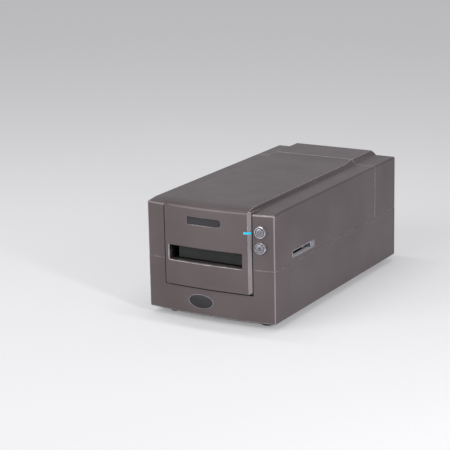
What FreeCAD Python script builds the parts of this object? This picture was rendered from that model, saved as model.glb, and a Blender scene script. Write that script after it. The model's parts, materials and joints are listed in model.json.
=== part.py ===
import FreeCAD, Part
import math
import os
import re
import Sketcher
from FreeCAD import Placement, Rotation, Vector

# A desktop film scanner: a long two-part housing with a bowed front, a raised band that runs
# up the front and back over the top, a film slot with a hinged dust flap, and the optics and
# the roller drive that the housing covers. +X is the right side, -Y the front, +Z up. The
# origin is at table height, under the middle of the scanner's length and width.

# Driving dimensions, in millimetres and degrees
SIZES = {
    # Housing
    "body_wide": 184.4,
    "body_long": 362.0,
    "shell_tall": 142.0,
    "lower_share": 0.487324,
    "lift": 9.0,
    "front_bow": 7.0,
    "cover_long": 67.0,
    "wall": 2.5,
    "seam_gap": 0.5,
    "corner_round": 2.0,
    "edge_round": 2.4,
    "foot_edge": 1.2,
    "front_drop": 2.6,
    "drop_run": 26.0,
    "overrun": 6.0,
    "fit_gap": 0.3,
    # Raised band over the front and the top
    "band_proud": 4.5,
    "column_left": 27.8,
    "column_right": 30.2,
    "band_chamfer": 3.0,
    "band_low": 37.5,
    "band_roll": 5.0,
    "band_corner": 3.0,
    "groove_wide": 0.9,
    "groove_deep": 1.3,
    "groove_under": 2.4,
    "facet_run": 18.0,
    "facet_drop": 3.4,
    "ramp_run": 22.0,
    "ramp_rise": 2.0,
    "ramp_flat": 3.0,
    "hump_end": 4.5,
    # Film slot and its flap
    "slot_left_edge": 9.05,
    "slot_right_edge": 11.85,
    "slot_tall": 18.2,
    "slot_rise": 10.2,
    "slot_deep": 10.0,
    "slot_wall": 2.0,
    "slot_bevel": 1.2,
    "throat_wall": 2.5,
    "throat_rise": 3.2,
    "flap_left_edge": 8.75,
    "flap_right_edge": 2.0,
    "flap_clear": 1.0,
    "flap_thick": 2.0,
    "flap_drop": 1.4,
    "knuckle_radius": 2.4,
    "pin_radius": 1.2,
    "knuckle_wide": 12.0,
    "running_gap": 0.05,
    # Plate, status light and buttons
    "plate_wide": 48.0,
    "plate_tall": 10.0,
    "plate_shift": -2.5,
    "plate_drop": 17.6,
    "plate_thick": 1.6,
    "light_drop": 2.0,
    "light_tall": 2.6,
    "light_reach": 8.6,
    "light_thick": 2.6,
    "button_side": 18.2,
    "button_drop": 23.6,
    "button_pitch": 20.2,
    "ring_radius": 8.2,
    "ring_bore": 5.9,
    "ring_proud": 4.4,
    "ring_crest": 6.5,
    "ring_shoulder": 7.65,
    "ring_neck": 7.0,
    "ring_long": 6.0,
    "ring_lip_share": 0.88,
    "ring_edge_share": 0.64,
    "cap_proud": 4.7,
    "cap_top_share": 0.6,
    "cap_rim_share": 0.85,
    "button_travel": 1.2,
    "stem_radius": 2.0,
    "stem_long": 9.0,
    "flange_thick": 1.5,
    "board_thick": 1.6,
    "board_reach": 14.0,
    "board_tab": 13.0,
    "board_edge": 9.0,
    "post_shift": 11.0,
    "led_shift": 16.8,
    "led_side": 3.0,
    "led_tall": 2.0,
    "tact_side": 6.0,
    "tact_tall": 3.4,
    # Lock slide on the right side
    "lock_long": 60.6,
    "lock_tall": 9.5,
    "lock_back": 52.6,
    "lock_rise": 10.6,
    "lock_deep": 6.0,
    "lock_rim": 1.3,
    "lock_flange": 0.8,
    "lock_lip": 0.5,
    "lock_slit": 6.3,
    "lock_step": 1.5,
    "knob_long": 9.0,
    "slide_thick": 1.5,
    "slide_long": 30.0,
    # Base
    "pan_inset": 8.0,
    "pan_thick": 3.0,
    "foot_radius": 9.0,
    "foot_inset": 16.0,
    "screw_radius": 1.5,
    "screw_head": 3.0,
    "head_tall": 2.0,
    # Film path and chassis
    "chassis_side": 9.25,
    "chassis_start": 38.8,
    "chassis_back": 23.2,
    "chassis_wall": 2.5,
    "boss_tall": 3.0,
    "boss_radius": 5.0,
    "boss_inset": 12.0,
    "stage_thick": 3.0,
    "rail_wide": 8.0,
    "path_edge": 2.25,
    "path_tall": 16.0,
    "aperture_edge": 11.75,
    "aperture_long": 9.0,
    "aperture_gap": 38.0,
    # Roller drive
    "roller_back": 60.8,
    "shaft_radius": 3.0,
    "roller_radius": 9.5,
    "roller_long": 10.0,
    "roller_inset": 14.5,
    "roller_rise": 0.6,
    "bush_radius": 5.0,
    "bush_flange": 6.5,
    "bush_lip": 1.5,
    "idler_pin": 2.0,
    "pinch_radius": 6.0,
    "pinch_shaft": 2.5,
    "bracket_thick": 2.0,
    "tooth_size": 0.8,
    "gear_thick": 6.0,
    "drive_teeth": 40,
    "idler_teeth": 24,
    "pinion_teeth": 12,
    "pressure_angle": 20.0,
    "root_share": 1.25,
    "idler_angle": 35.0,
    "pinion_angle": 20.0,
    "tooth_backlash": 0.16,
    "motor_radius": 17.5,
    "motor_long": 16.0,
    "motor_shaft": 1.5,
    # Lamp
    "lamp_inset": 6.0,
    "lamp_long": 30.0,
    "lamp_tall": 24.0,
    "lamp_wall": 1.5,
    "tube_radius": 2.2,
    "diffuser_thick": 2.0,
    # Mirror, lens and sensor
    "axis_high": 31.0,
    "mirror_edge": 10.75,
    "mirror_tall": 34.0,
    "mirror_thick": 3.0,
    "cheek_thick": 3.0,
    "lens_radius": 15.0,
    "lens_long": 44.0,
    "lens_lip": 1.5,
    "glass_radius": 11.5,
    "glass_thick": 3.0,
    "carriage_inset": 8.0,
    "carriage_long": 26.0,
    "carriage_drop": 20.0,
    "strap_long": 8.0,
    "strap_thick": 2.0,
    "rod_radius": 3.0,
    "rod_inset": 20.0,
    "rod_high": 22.0,
    "rib_thick": 4.0,
    "rib_space": 76.0,
    "screw_inset": 16.0,
    "focus_screw": 2.5,
    "focus_motor": 8.0,
    "focus_motor_long": 16.0,
    "sensor_wide": 60.0,
    "sensor_tall": 11.0,
    "sensor_thick": 3.0,
    "sensor_board_wide": 72.0,
    "sensor_board_tall": 34.0,
    "sensor_gap": 22.0,
    "sensor_back": 26.0,
    # Electronics and the rear
    "board_long": 190.0,
    "board_tall": 46.0,
    "standoff_long": 9.0,
    "standoff_radius": 2.5,
    "chip_count": 3,
    "chip_side": 22.0,
    "chip_thick": 2.4,
    "panel_wide": 96.0,
    "panel_tall": 34.0,
    "panel_thick": 1.2,
    "panel_high": 16.0,
    "jack_radius": 4.0,
    "jack_bore": 2.8,
    "jack_pin": 1.0,
    "jack_long": 11.0,
    "port_wide": 12.0,
    "port_tall": 11.0,
    "port_long": 16.0,
    "port_wall": 0.9,
    "tongue_share": 0.8,
}

# Places and sizes that follow from the driving ones
PLACES = {
    "half_wide": "body_wide / 2",
    "lower_tall": "shell_tall * lower_share",
    "band_wide": "body_wide - column_left - column_right",
    "band_shift": "(column_left - column_right) / 2",
    "slot_wide": "band_wide - slot_left_edge - slot_right_edge",
    "slot_shift": "band_shift + (slot_left_edge - slot_right_edge) / 2",
    "flap_wide": "slot_wide - flap_left_edge - flap_right_edge",
    "button_shift": "half_wide - button_side",
    "chassis_wide": "slot_wide + 2 * chassis_side",
    "path_wide": "slot_wide - 2 * path_edge",
    "aperture_wide": "slot_wide - 2 * aperture_edge",
    "roller_space": "path_wide - 2 * roller_inset",
    "lamp_wide": "chassis_wide - 2 * lamp_inset",
    "mirror_wide": "slot_wide - 2 * mirror_edge",
    "carriage_wide": "chassis_wide - 2 * carriage_inset",
    "rod_space": "carriage_wide - 2 * rod_inset",
    "rear_y": "(body_long + band_proud) / 2",
    "apex_y": "rear_y - body_long",
    "face_y": "apex_y - band_proud",
    "corner_y": "apex_y + front_bow",
    "bow_radius": "(half_wide ^ 2 + front_bow ^ 2) / (2 * front_bow)",
    "bow_y": "apex_y + bow_radius",
    "cover_y": "rear_y - cover_long",
    "seam_z": "lift + lower_tall",
    "top_z": "lift + shell_tall",
    "band_z": "top_z + band_proud",
    "hump_z": "band_z + ramp_rise",
    "band_foot": "band_wide / 2",
    "band_low_z": "lift + band_low",
    "slot_z": "seam_z + slot_rise",
    "slot_floor": "slot_z - slot_tall / 2",
    "slot_roof": "slot_z + slot_tall / 2",
    "collar_y": "face_y + slot_deep",
    "throat_y": "collar_y + fit_gap",
    "pin_z": "slot_roof - flap_drop",
    "pin_y": "throat_y + knuckle_radius + fit_gap",
    "plate_z": "top_z - plate_drop",
    "button_z": "top_z - button_drop",
    "light_z": "button_z - light_drop",
    "button_y": "bow_y - sqrt(bow_radius ^ 2 - button_shift ^ 2)",
    "lock_z": "seam_z + lock_rise",
    "lock_y": "apex_y + lock_back",
    "floor_z": "lift + wall",
    "tray_z": "floor_z + boss_tall",
    "deck_z": "tray_z + chassis_wall",
    "path_z": "slot_floor - running_gap",
    "stage_z": "path_z - stage_thick",
    "rail_z": "path_z + path_tall",
    "chassis_half": "chassis_wide / 2",
    "chassis_y": "apex_y + chassis_start",
    "chassis_end": "rear_y - chassis_back",
    "chassis_long": "chassis_end - chassis_y",
    "roller_y": "apex_y + roller_back",
    "roller_z": "path_z + roller_rise - roller_radius",
    "pinch_z": "rail_z + pinch_radius",
    "axis_z": "lift + axis_high",
    "rod_z": "lift + rod_high",
    "sensor_y": "chassis_end - sensor_back",
    "rib_end": "sensor_y - sensor_gap",
    "lens_y": "rib_end - rib_thick - rib_space / 2",
    "rib_y": "lens_y - rib_space / 2 - rib_thick",
    "aperture_y": "rib_y - aperture_gap",
    "screw_x": "chassis_right - screw_inset",
    "chassis_left": "slot_shift - chassis_half",
    "chassis_right": "slot_shift + chassis_half",
    "gear_x": "chassis_right + bush_lip + fit_gap",
    "idler_reach": "tooth_size * (drive_teeth + idler_teeth) / 2",
    "idler_y": "roller_y + idler_reach * cos(idler_angle)",
    "idler_z": "roller_z - idler_reach * sin(idler_angle)",
    "pinion_reach": "tooth_size * (idler_teeth + pinion_teeth) / 2",
    "pinion_y": "idler_y + pinion_reach * cos(pinion_angle)",
    "pinion_z": "idler_z - pinion_reach * sin(pinion_angle)",
    "mirror_half": "mirror_tall / 2 / sqrt(2)",
    "mirror_back_y": "aperture_y - mirror_thick / sqrt(2)",
    "mirror_back_z": "axis_z - mirror_thick / sqrt(2)",
    "flange_y": "ring_long + fit_gap",
    "stem_end": "flange_y + flange_thick + stem_long",
    "tact_y": "stem_end + button_travel + running_gap",
    "switch_y": "tact_y + tact_tall",
    "lean": "button_shift / bow_radius",
    "lamp_tip_y": "switch_y - led_tall - led_tall / 4",
    "stem_stop_y": "button_y - (led_shift + led_side / 2) * lean + lamp_tip_y * sqrt(1 - lean ^ 2)",
    "sockets_z": "panel_z + panel_tall / 2 - port_tall / 2",
    "pan_z": "lift - pan_thick",
    "panel_z": "lift + panel_high",
}

doc = FreeCAD.newDocument("film_scanner")
sizes = doc.addObject("Spreadsheet::Sheet", "Sizes")
places = doc.addObject("Spreadsheet::Sheet", "Places")
trial = doc.addObject("Spreadsheet::Sheet", "Trial")
WORD = re.compile(r"[a-z_]+")
CLOSE = 1e-4
CLOSE_ENOUGH = 1e-3
HALF_TURN = 180.0


def linked(formula):
    """Return the formula with each word tied to the sheet that holds it."""
    def sheet_word(match):
        word = match.group(0)
        if word in SIZES:
            return "Sizes." + word
        if word in PLACES:
            return "Places." + word
        return word
    return WORD.sub(sheet_word, str(formula))


def fill_sheets():
    """Write the driving numbers, then the formulas that follow from them."""
    for row, (word, value) in enumerate(SIZES.items(), start=1):
        sizes.set("A%d" % row, word)
        sizes.set("B%d" % row, str(value))
        sizes.setAlias("B%d" % row, word)
    doc.recompute()
    for row, (word, formula) in enumerate(PLACES.items(), start=1):
        places.set("A%d" % row, word)
        places.set("B%d" % row, "=" + linked(formula))
        places.setAlias("B%d" % row, word)
    doc.recompute()


def number(formula):
    """Return what a formula comes to, worked out in a cell of its own."""
    trial.set("A1", "=" + linked(formula))
    trial.recompute()
    return float(trial.get("A1"))


def bind(thing, prop, formula):
    """Tie one property of an object to a formula."""
    thing.setExpression(prop, linked(formula))


def parts_group(kind, label):
    """Add an object of a kind with a label of its own."""
    thing = doc.addObject(kind, label)
    thing.Label = label
    return thing


def place(thing, x=None, y=None, z=None):
    """Tie an object's position to formulas."""
    for axis, formula in (("x", x), ("y", y), ("z", z)):
        if formula is not None:
            bind(thing, "Placement.Base." + axis, formula)
    return thing


def box(label, x, y, z):
    """A block between two formulas along each axis."""
    thing = parts_group("Part::Box", label)
    for prop, span in (("Length", x), ("Width", y), ("Height", z)):
        bind(thing, prop, "(%s) - (%s)" % (span[1], span[0]))
    return place(thing, x[0], y[0], z[0])


TURNS = {
    "x": Rotation(Vector(0, 1, 0), HALF_TURN / 2),
    "y": Rotation(Vector(1, 0, 0), -HALF_TURN / 2),
    "z": Rotation(),
}


def rod(label, axis, start, length, radius):
    """A cylinder from a start point along one axis."""
    thing = parts_group("Part::Cylinder", label)
    bind(thing, "Radius", radius)
    bind(thing, "Height", length)
    thing.Placement = Placement(Vector(), TURNS[axis])
    return place(thing, *start)


def cut(label, base, *tools):
    """Take the tools away from the base."""
    thing = parts_group("Part::Cut", label)
    thing.Base = base
    thing.Tool = tools[0] if len(tools) == 1 else gather(label + "_cuts", *tools)
    return thing


def gather(label, *pieces):
    """Several solids held as one object, fused where they meet."""
    thing = parts_group("Part::MultiFuse", label)
    thing.Shapes = list(pieces)
    thing.Refine = False
    return thing


def body(label):
    """A PartDesign body for one moulded piece."""
    return parts_group("PartDesign::Body", label)


def origin_plane(owner, role):
    """One of a body's own origin planes."""
    for feature in owner.Origin.OriginFeatures:
        if feature.Role == role:
            return feature


def sketch(owner, name, role, height, outlines):
    """Closed outlines on one of the body's planes, moved out to a height along the world axis.

    A point is (across, up). A third value is the radius of the arc that runs counter-clockwise
    from that point to the next. An outline of one point and a radius is a circle.
    """
    drawing = owner.newObject("Sketcher::SketchObject", owner.Name + "_" + name)
    drawing.AttachmentSupport = [(origin_plane(owner, role), "")]
    drawing.MapMode = "FlatFace"
    sign = "-1 * " if role == "XZ_Plane" else ""
    bind(drawing, "AttachmentOffset.Base.z", "%s(%s)" % (sign, height))
    for outline in outlines:
        if len(outline) == 1:
            circle(drawing, *outline[0])
        else:
            loop(drawing, outline)
    return drawing


def tie_point(drawing, shape, end, across, up):
    """Tie one end of a shape in a sketch to the origin, across and up."""
    for kind, formula in (("DistanceX", across), ("DistanceY", up)):
        row = drawing.addConstraint(Sketcher.Constraint(kind, -1, 1, shape, end, number(formula)))
        drawing.setExpression("Constraints[%d]" % row, linked(formula))


def circle(drawing, across, up, radius):
    """A circle with its centre and its radius tied to formulas."""
    centre = Vector(number(across), number(up), 0)
    shape = drawing.addGeometry(Part.Circle(centre, Vector(0, 0, 1), number(radius)), False)
    tie_point(drawing, shape, 3, across, up)
    row = drawing.addConstraint(Sketcher.Constraint("Radius", shape, number(radius)))
    drawing.setExpression("Constraints[%d]" % row, linked(radius))


def loop(drawing, outline):
    """A closed run of lines and arcs through the outline's points."""
    spots = [Vector(number(point[0]), number(point[1]), 0) for point in outline]
    shapes = []
    for index, point in enumerate(outline):
        start = spots[index]
        stop = spots[(index + 1) % len(spots)]
        if len(point) == 3:
            radius = number(point[2])
            half = (stop - start) * 0.5
            inward = Vector(-half.y, half.x, 0).normalize()
            rise = math.sqrt(radius ** 2 - half.Length ** 2)
            centre = start + half + inward * rise
            first = math.atan2(start.y - centre.y, start.x - centre.x)
            last = math.atan2(stop.y - centre.y, stop.x - centre.x)
            ring = Part.Circle(centre, Vector(0, 0, 1), radius)
            shape = drawing.addGeometry(Part.ArcOfCircle(ring, first, last), False)
            row = drawing.addConstraint(Sketcher.Constraint("Radius", shape, radius))
            drawing.setExpression("Constraints[%d]" % row, linked(point[2]))
        else:
            shape = drawing.addGeometry(Part.LineSegment(start, stop), False)
        shapes.append(shape)
    for index, shape in enumerate(shapes):
        following = shapes[(index + 1) % len(shapes)]
        drawing.addConstraint(Sketcher.Constraint("Coincident", shape, 2, following, 1))
    for index, point in enumerate(outline):
        tie_point(drawing, shapes[index], 1, point[0], point[1])


def pad(owner, name, drawing, length, back=False):
    """Raise a sketch into a solid, along the sketch's normal or back from it."""
    feature = owner.newObject("PartDesign::Pad", owner.Name + "_" + name)
    feature.Profile = drawing
    bind(feature, "Length", length)
    feature.Reversed = back
    doc.recompute()
    return feature


def pocket(owner, name, drawing, length, back=False):
    """Sink a sketch into the solid, and check that it took something away."""
    before = owner.Shape.Volume
    feature = owner.newObject("PartDesign::Pocket", owner.Name + "_" + name)
    feature.Profile = drawing
    bind(feature, "Length", length)
    feature.Reversed = back
    doc.recompute()
    if feature.Shape.isNull() or not feature.Shape.Volume < before:
        raise ValueError(feature.Name + " takes nothing away")
    return feature


def dress(owner, name, kind, size, wanted):
    """Round or chamfer the edges of the body's last shape that a test picks."""
    base = owner.Tip
    edges = [
        "Edge%d" % (index + 1)
        for index, edge in enumerate(base.Shape.Edges)
        if wanted(edge)
    ]
    if not edges:
        raise ValueError(owner.Name + "_" + name + " finds no edge")
    feature = owner.newObject("PartDesign::" + kind, owner.Name + "_" + name)
    feature.Base = (base, edges)
    bind(feature, "Radius" if kind == "Fillet" else "Size", size)
    doc.recompute()
    return feature


def lies_on(edge, **planes):
    """True where an edge lies wholly at the given x, y or z places."""
    limits = edge.BoundBox
    spans = {"x": (limits.XMin, limits.XMax), "y": (limits.YMin, limits.YMax),
             "z": (limits.ZMin, limits.ZMax)}
    return all(abs(end - value) < CLOSE
               for axis, value in planes.items() for end in spans[axis])


def bow_at(inset, x):
    """The y of the bowed front at some x, with the bow moved in by an inset."""
    return "bow_y - sqrt((bow_radius - (%s)) ^ 2 - (%s) ^ 2)" % (inset, x)


def bowed_plan(left, right, inset, back):
    """A plan outline with the bowed front, seen from above."""
    return [
        (left, bow_at(inset, left), "bow_radius - (%s)" % inset),
        (right, bow_at(inset, right)),
        (right, back),
        (left, back),
    ]


def oblong(left, right, low, high):
    """A rectangle as an outline."""
    return [(left, low), (right, low), (right, high), (left, high)]


BAND_LEFT = "band_shift - band_foot"
BAND_RIGHT = "band_shift + band_foot"
HOUSING_END = "cover_y - seam_gap / 2"
SLOT_LEFT = "slot_shift - slot_wide / 2"
SLOT_RIGHT = "slot_shift + slot_wide / 2"
COLLAR_HOLE = oblong(
    SLOT_LEFT + " - slot_wall - fit_gap",
    SLOT_RIGHT + " + slot_wall + fit_gap",
    "slot_floor - slot_wall - fit_gap",
    "slot_roof + slot_wall + fit_gap",
)


LIGHT_LEFT = BAND_RIGHT + " - light_reach"
LIGHT_LOW = "light_z - light_tall / 2"
BOSS_X = ("slot_shift - chassis_half + boss_inset", "slot_shift + chassis_half - boss_inset")
BOSS_Y = ("chassis_y + 2 * boss_inset", "chassis_end - 2 * boss_inset")
BOSSES = [(x, y) for x in BOSS_X for y in BOSS_Y]
SIDES = (("left", "-"), ("right", "+"))


def front_cut(left, right):
    """A plan outline of all that lies in front of the bow's face, as deep as the groove."""
    return [
        (left, bow_at("groove_deep", left), "bow_radius - groove_deep"),
        (right, bow_at("groove_deep", right)),
        (right, "apex_y - overrun"),
        (left, "apex_y - overrun"),
    ]


GROOVE_LEFT = BAND_LEFT + " - groove_wide"
GROOVE_RIGHT = BAND_RIGHT + " + groove_wide"


def tilt(thing, z):
    """Stand a piece square to the bowed front at the buttons, at a height."""
    thing.Placement = Placement(Vector(), Rotation(Vector(0, 0, 1), HALF_TURN))
    bind(thing, "Placement.Rotation.Angle", "asin(lean)")
    return place(thing, "button_shift", "button_y", z)


def lock_box(label, inner, outer, inset):
    """A block in the place of the lock slide, smaller all round by an inset."""
    return box(label, (inner, outer),
               ("lock_y + (%s)" % inset, "lock_y + lock_long - (%s)" % inset),
               ("lock_z - lock_tall / 2 + (%s)" % inset,
                "lock_z + lock_tall / 2 - (%s)" % inset))


def screw_rods(label, low, high, gap):
    """Four rods through the bosses, wider than the screws by a gap."""
    return [rod("%s_%d" % (label, index), "z", (x, y, low), "(%s) - (%s)" % (high, low),
                "screw_radius + (%s)" % gap)
            for index, (x, y) in enumerate(BOSSES)]


def lower_housing():
    """The open tub below the seam, with bosses for the chassis and a window for the sockets."""
    tub = body("lower_housing_shell")
    plan = bowed_plan("-half_wide", "half_wide", "0", "rear_y")
    outline = sketch(tub, "plan", "XY_Plane", "lift", [plan])
    pad(tub, "block", outline, "lower_tall - seam_gap / 2")
    half = number("half_wide")
    corners = (number("corner_y"), number("rear_y"))

    def upright(edge):
        return any(lies_on(edge, x=side * half, y=y) for side in (-1, 1) for y in corners)
    dress(tub, "corners", "Fillet", "corner_round", upright)
    underside = number("lift")
    dress(tub, "lower_edge", "Chamfer", "foot_edge", lambda edge: lies_on(edge, z=underside))
    hollow = bowed_plan("wall - half_wide", "half_wide - wall", "wall", "rear_y - wall")
    pocket(tub, "hollow", sketch(tub, "inside", "XY_Plane", "seam_z", [hollow]),
           "lower_tall - wall")
    sides = [front_cut(GROOVE_LEFT, BAND_LEFT), front_cut(BAND_RIGHT, GROOVE_RIGHT)]
    pocket(tub, "groove_sides", sketch(tub, "groove_plan", "XY_Plane", "seam_z", sides),
           "seam_z - band_low_z")
    foot = sketch(tub, "groove_foot", "XY_Plane", "band_low_z",
                  [front_cut(GROOVE_LEFT, GROOVE_RIGHT)])
    pocket(tub, "groove_low", foot, "groove_under")
    notch = sketch(tub, "slot", "XZ_Plane", "apex_y - overrun", [COLLAR_HOLE])
    pocket(tub, "slot_notch", notch, "overrun + front_bow + wall")
    seats = [[(x, y, "boss_radius")] for x, y in BOSSES]
    pad(tub, "bosses", sketch(tub, "boss_plan", "XY_Plane", "floor_z", seats), "boss_tall")
    window = box("socket_window", ("-panel_wide / 2", "panel_wide / 2"),
                 ("rear_y - wall - overrun", "rear_y + overrun"),
                 ("panel_z", "panel_z + panel_tall"))
    posts = [rod("socket_post_" + word, "z",
                 (sign + "(panel_wide / 2 - boss_inset)", "(chassis_end + rear_y - wall) / 2",
                  "floor_z - wall / 2"),
                 "sockets_z - board_thick - floor_z + wall / 2", "boss_radius / 2")
             for word, sign in SIDES]
    return cut("lower_housing", gather("lower_housing_posts", tub, *posts), window,
               *screw_rods("pilot", "lift - overrun", "tray_z + overrun", "running_gap"))


def upper_housing():
    """The shell above the seam: front columns, sides and top, open below and behind."""
    shell = body("upper_housing_shell")
    plan = bowed_plan("-half_wide", "half_wide", "0", HOUSING_END)
    outline = sketch(shell, "plan", "XY_Plane", "seam_z + seam_gap / 2", [plan])
    pad(shell, "block", outline, "shell_tall - lower_tall - seam_gap / 2")
    slope = [
        ("apex_y + drop_run", "top_z"),
        ("apex_y + drop_run", "top_z + overrun"),
        ("apex_y - overrun", "top_z + overrun"),
        ("apex_y - overrun", "top_z - front_drop * (drop_run + overrun) / drop_run"),
    ]
    pocket(shell, "right_slope", sketch(shell, "right_side", "YZ_Plane", BAND_RIGHT, [slope]),
           "half_wide + overrun", back=True)
    pocket(shell, "left_slope", sketch(shell, "left_side", "YZ_Plane", BAND_LEFT, [slope]),
           "half_wide + overrun")
    half = number("half_wide")
    corner = number("corner_y")
    low = number("top_z - 2 * front_drop")
    inner = (number(BAND_LEFT) + CLOSE, number(BAND_RIGHT) - CLOSE)

    def outer_edge(edge):
        limits = edge.BoundBox
        if lies_on(edge, x=half) or lies_on(edge, x=-half):
            return limits.ZMin > low or limits.YMax < corner + CLOSE
        outside = limits.XMax < inner[0] or limits.XMin > inner[1]
        return outside and limits.ZMin > low and limits.YMax < corner + CLOSE
    dress(shell, "edges", "Fillet", "edge_round", outer_edge)
    hollow = bowed_plan("wall - half_wide", "half_wide - wall", "wall", "rear_y")
    below = sketch(shell, "inside", "XY_Plane", "seam_z - overrun", [hollow])
    pocket(shell, "hollow", below,
           "overrun + shell_tall - lower_tall - wall - front_drop", back=True)
    roof = oblong("wall - half_wide", "half_wide - wall", "apex_y + drop_run", "rear_y")
    pocket(shell, "roof", sketch(shell, "ceiling", "XY_Plane", "top_z - wall", [roof]),
           "front_drop + wall")
    sides = [front_cut(GROOVE_LEFT, BAND_LEFT), front_cut(BAND_RIGHT, GROOVE_RIGHT)]
    pocket(shell, "groove_sides", sketch(shell, "groove_plan", "XY_Plane", "seam_z", sides),
           "shell_tall", back=True)
    slot = sketch(shell, "slot", "XZ_Plane", "apex_y - overrun", [COLLAR_HOLE])
    pocket(shell, "slot_hole", slot, "overrun + front_bow + wall")
    neck = tilt(gather("ring_necks", *[
        rod("neck_%s" % word, "y", ("0", "-overrun", z), "2 * overrun",
            "ring_neck + fit_gap / 2")
        for word, z in (("upper", "0"), ("lower", "-button_pitch"))]), "button_z")
    light = box("light_hole",
                (LIGHT_LEFT + " - fit_gap", LIGHT_LEFT + " + light_thick + fit_gap"),
                ("apex_y - overrun", "apex_y + front_bow + wall + overrun"),
                (LIGHT_LOW + " - fit_gap", LIGHT_LOW + " + light_tall + fit_gap"))
    lock = lock_box("lock_hole", "half_wide - wall - overrun", "half_wide + overrun",
                    "lock_lip - running_gap")
    seat = lock_box("lock_seat", "half_wide - lock_flange", "half_wide + overrun",
                    "-running_gap")
    posts = tilt(gather("switch_posts", *[
        rod("switch_post_%s" % word, "y", ("-post_shift", "wall / 2", z),
            "switch_y - wall / 2", "boss_radius / 2")
        for word, z in (("upper", "tact_side / 2"),
                        ("lower", "-button_pitch - tact_side / 2"))]), "button_z")
    return cut("upper_housing", gather("upper_housing_posts", shell, posts),
               neck, light, lock, seat)


def rear_cover():
    """The rear end of the top, with a low hump in line with the band."""
    cover = body("rear_cover")
    plan = oblong("-half_wide", "half_wide", "cover_y + seam_gap / 2", "rear_y")
    outline = sketch(cover, "plan", "XY_Plane", "seam_z + seam_gap / 2", [plan])
    pad(cover, "block", outline, "shell_tall - lower_tall - seam_gap / 2")
    rise = "band_chamfer * (band_proud + ramp_rise) / band_proud"
    hump = [
        (BAND_LEFT, "top_z"),
        (BAND_RIGHT, "top_z"),
        (BAND_RIGHT + " - " + rise, "hump_z"),
        (BAND_LEFT + " + " + rise, "hump_z"),
    ]
    section = sketch(cover, "hump_end", "XZ_Plane", "cover_y + seam_gap / 2", [hump])
    pad(cover, "hump", section, "cover_long - seam_gap / 2", back=True)
    half = number("half_wide")
    end = number("rear_y")
    top = number("top_z")
    crown = number("hump_z")
    dress(cover, "hump_slope", "Chamfer", "hump_end",
          lambda edge: lies_on(edge, y=end, z=crown))

    def outer_edge(edge):
        return (lies_on(edge, x=half, z=top) or lies_on(edge, x=-half, z=top)
                or lies_on(edge, x=half, y=end) or lies_on(edge, x=-half, y=end)
                or lies_on(edge, y=end, z=top))
    dress(cover, "edges", "Fillet", "edge_round", outer_edge)
    hollow = oblong("wall - half_wide", "half_wide - wall", "cover_y - overrun",
                    "rear_y - wall")
    below = sketch(cover, "inside", "XY_Plane", "seam_z - overrun", [hollow])
    pocket(cover, "hollow", below, "overrun + shell_tall - lower_tall - wall", back=True)
    return cover


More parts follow.
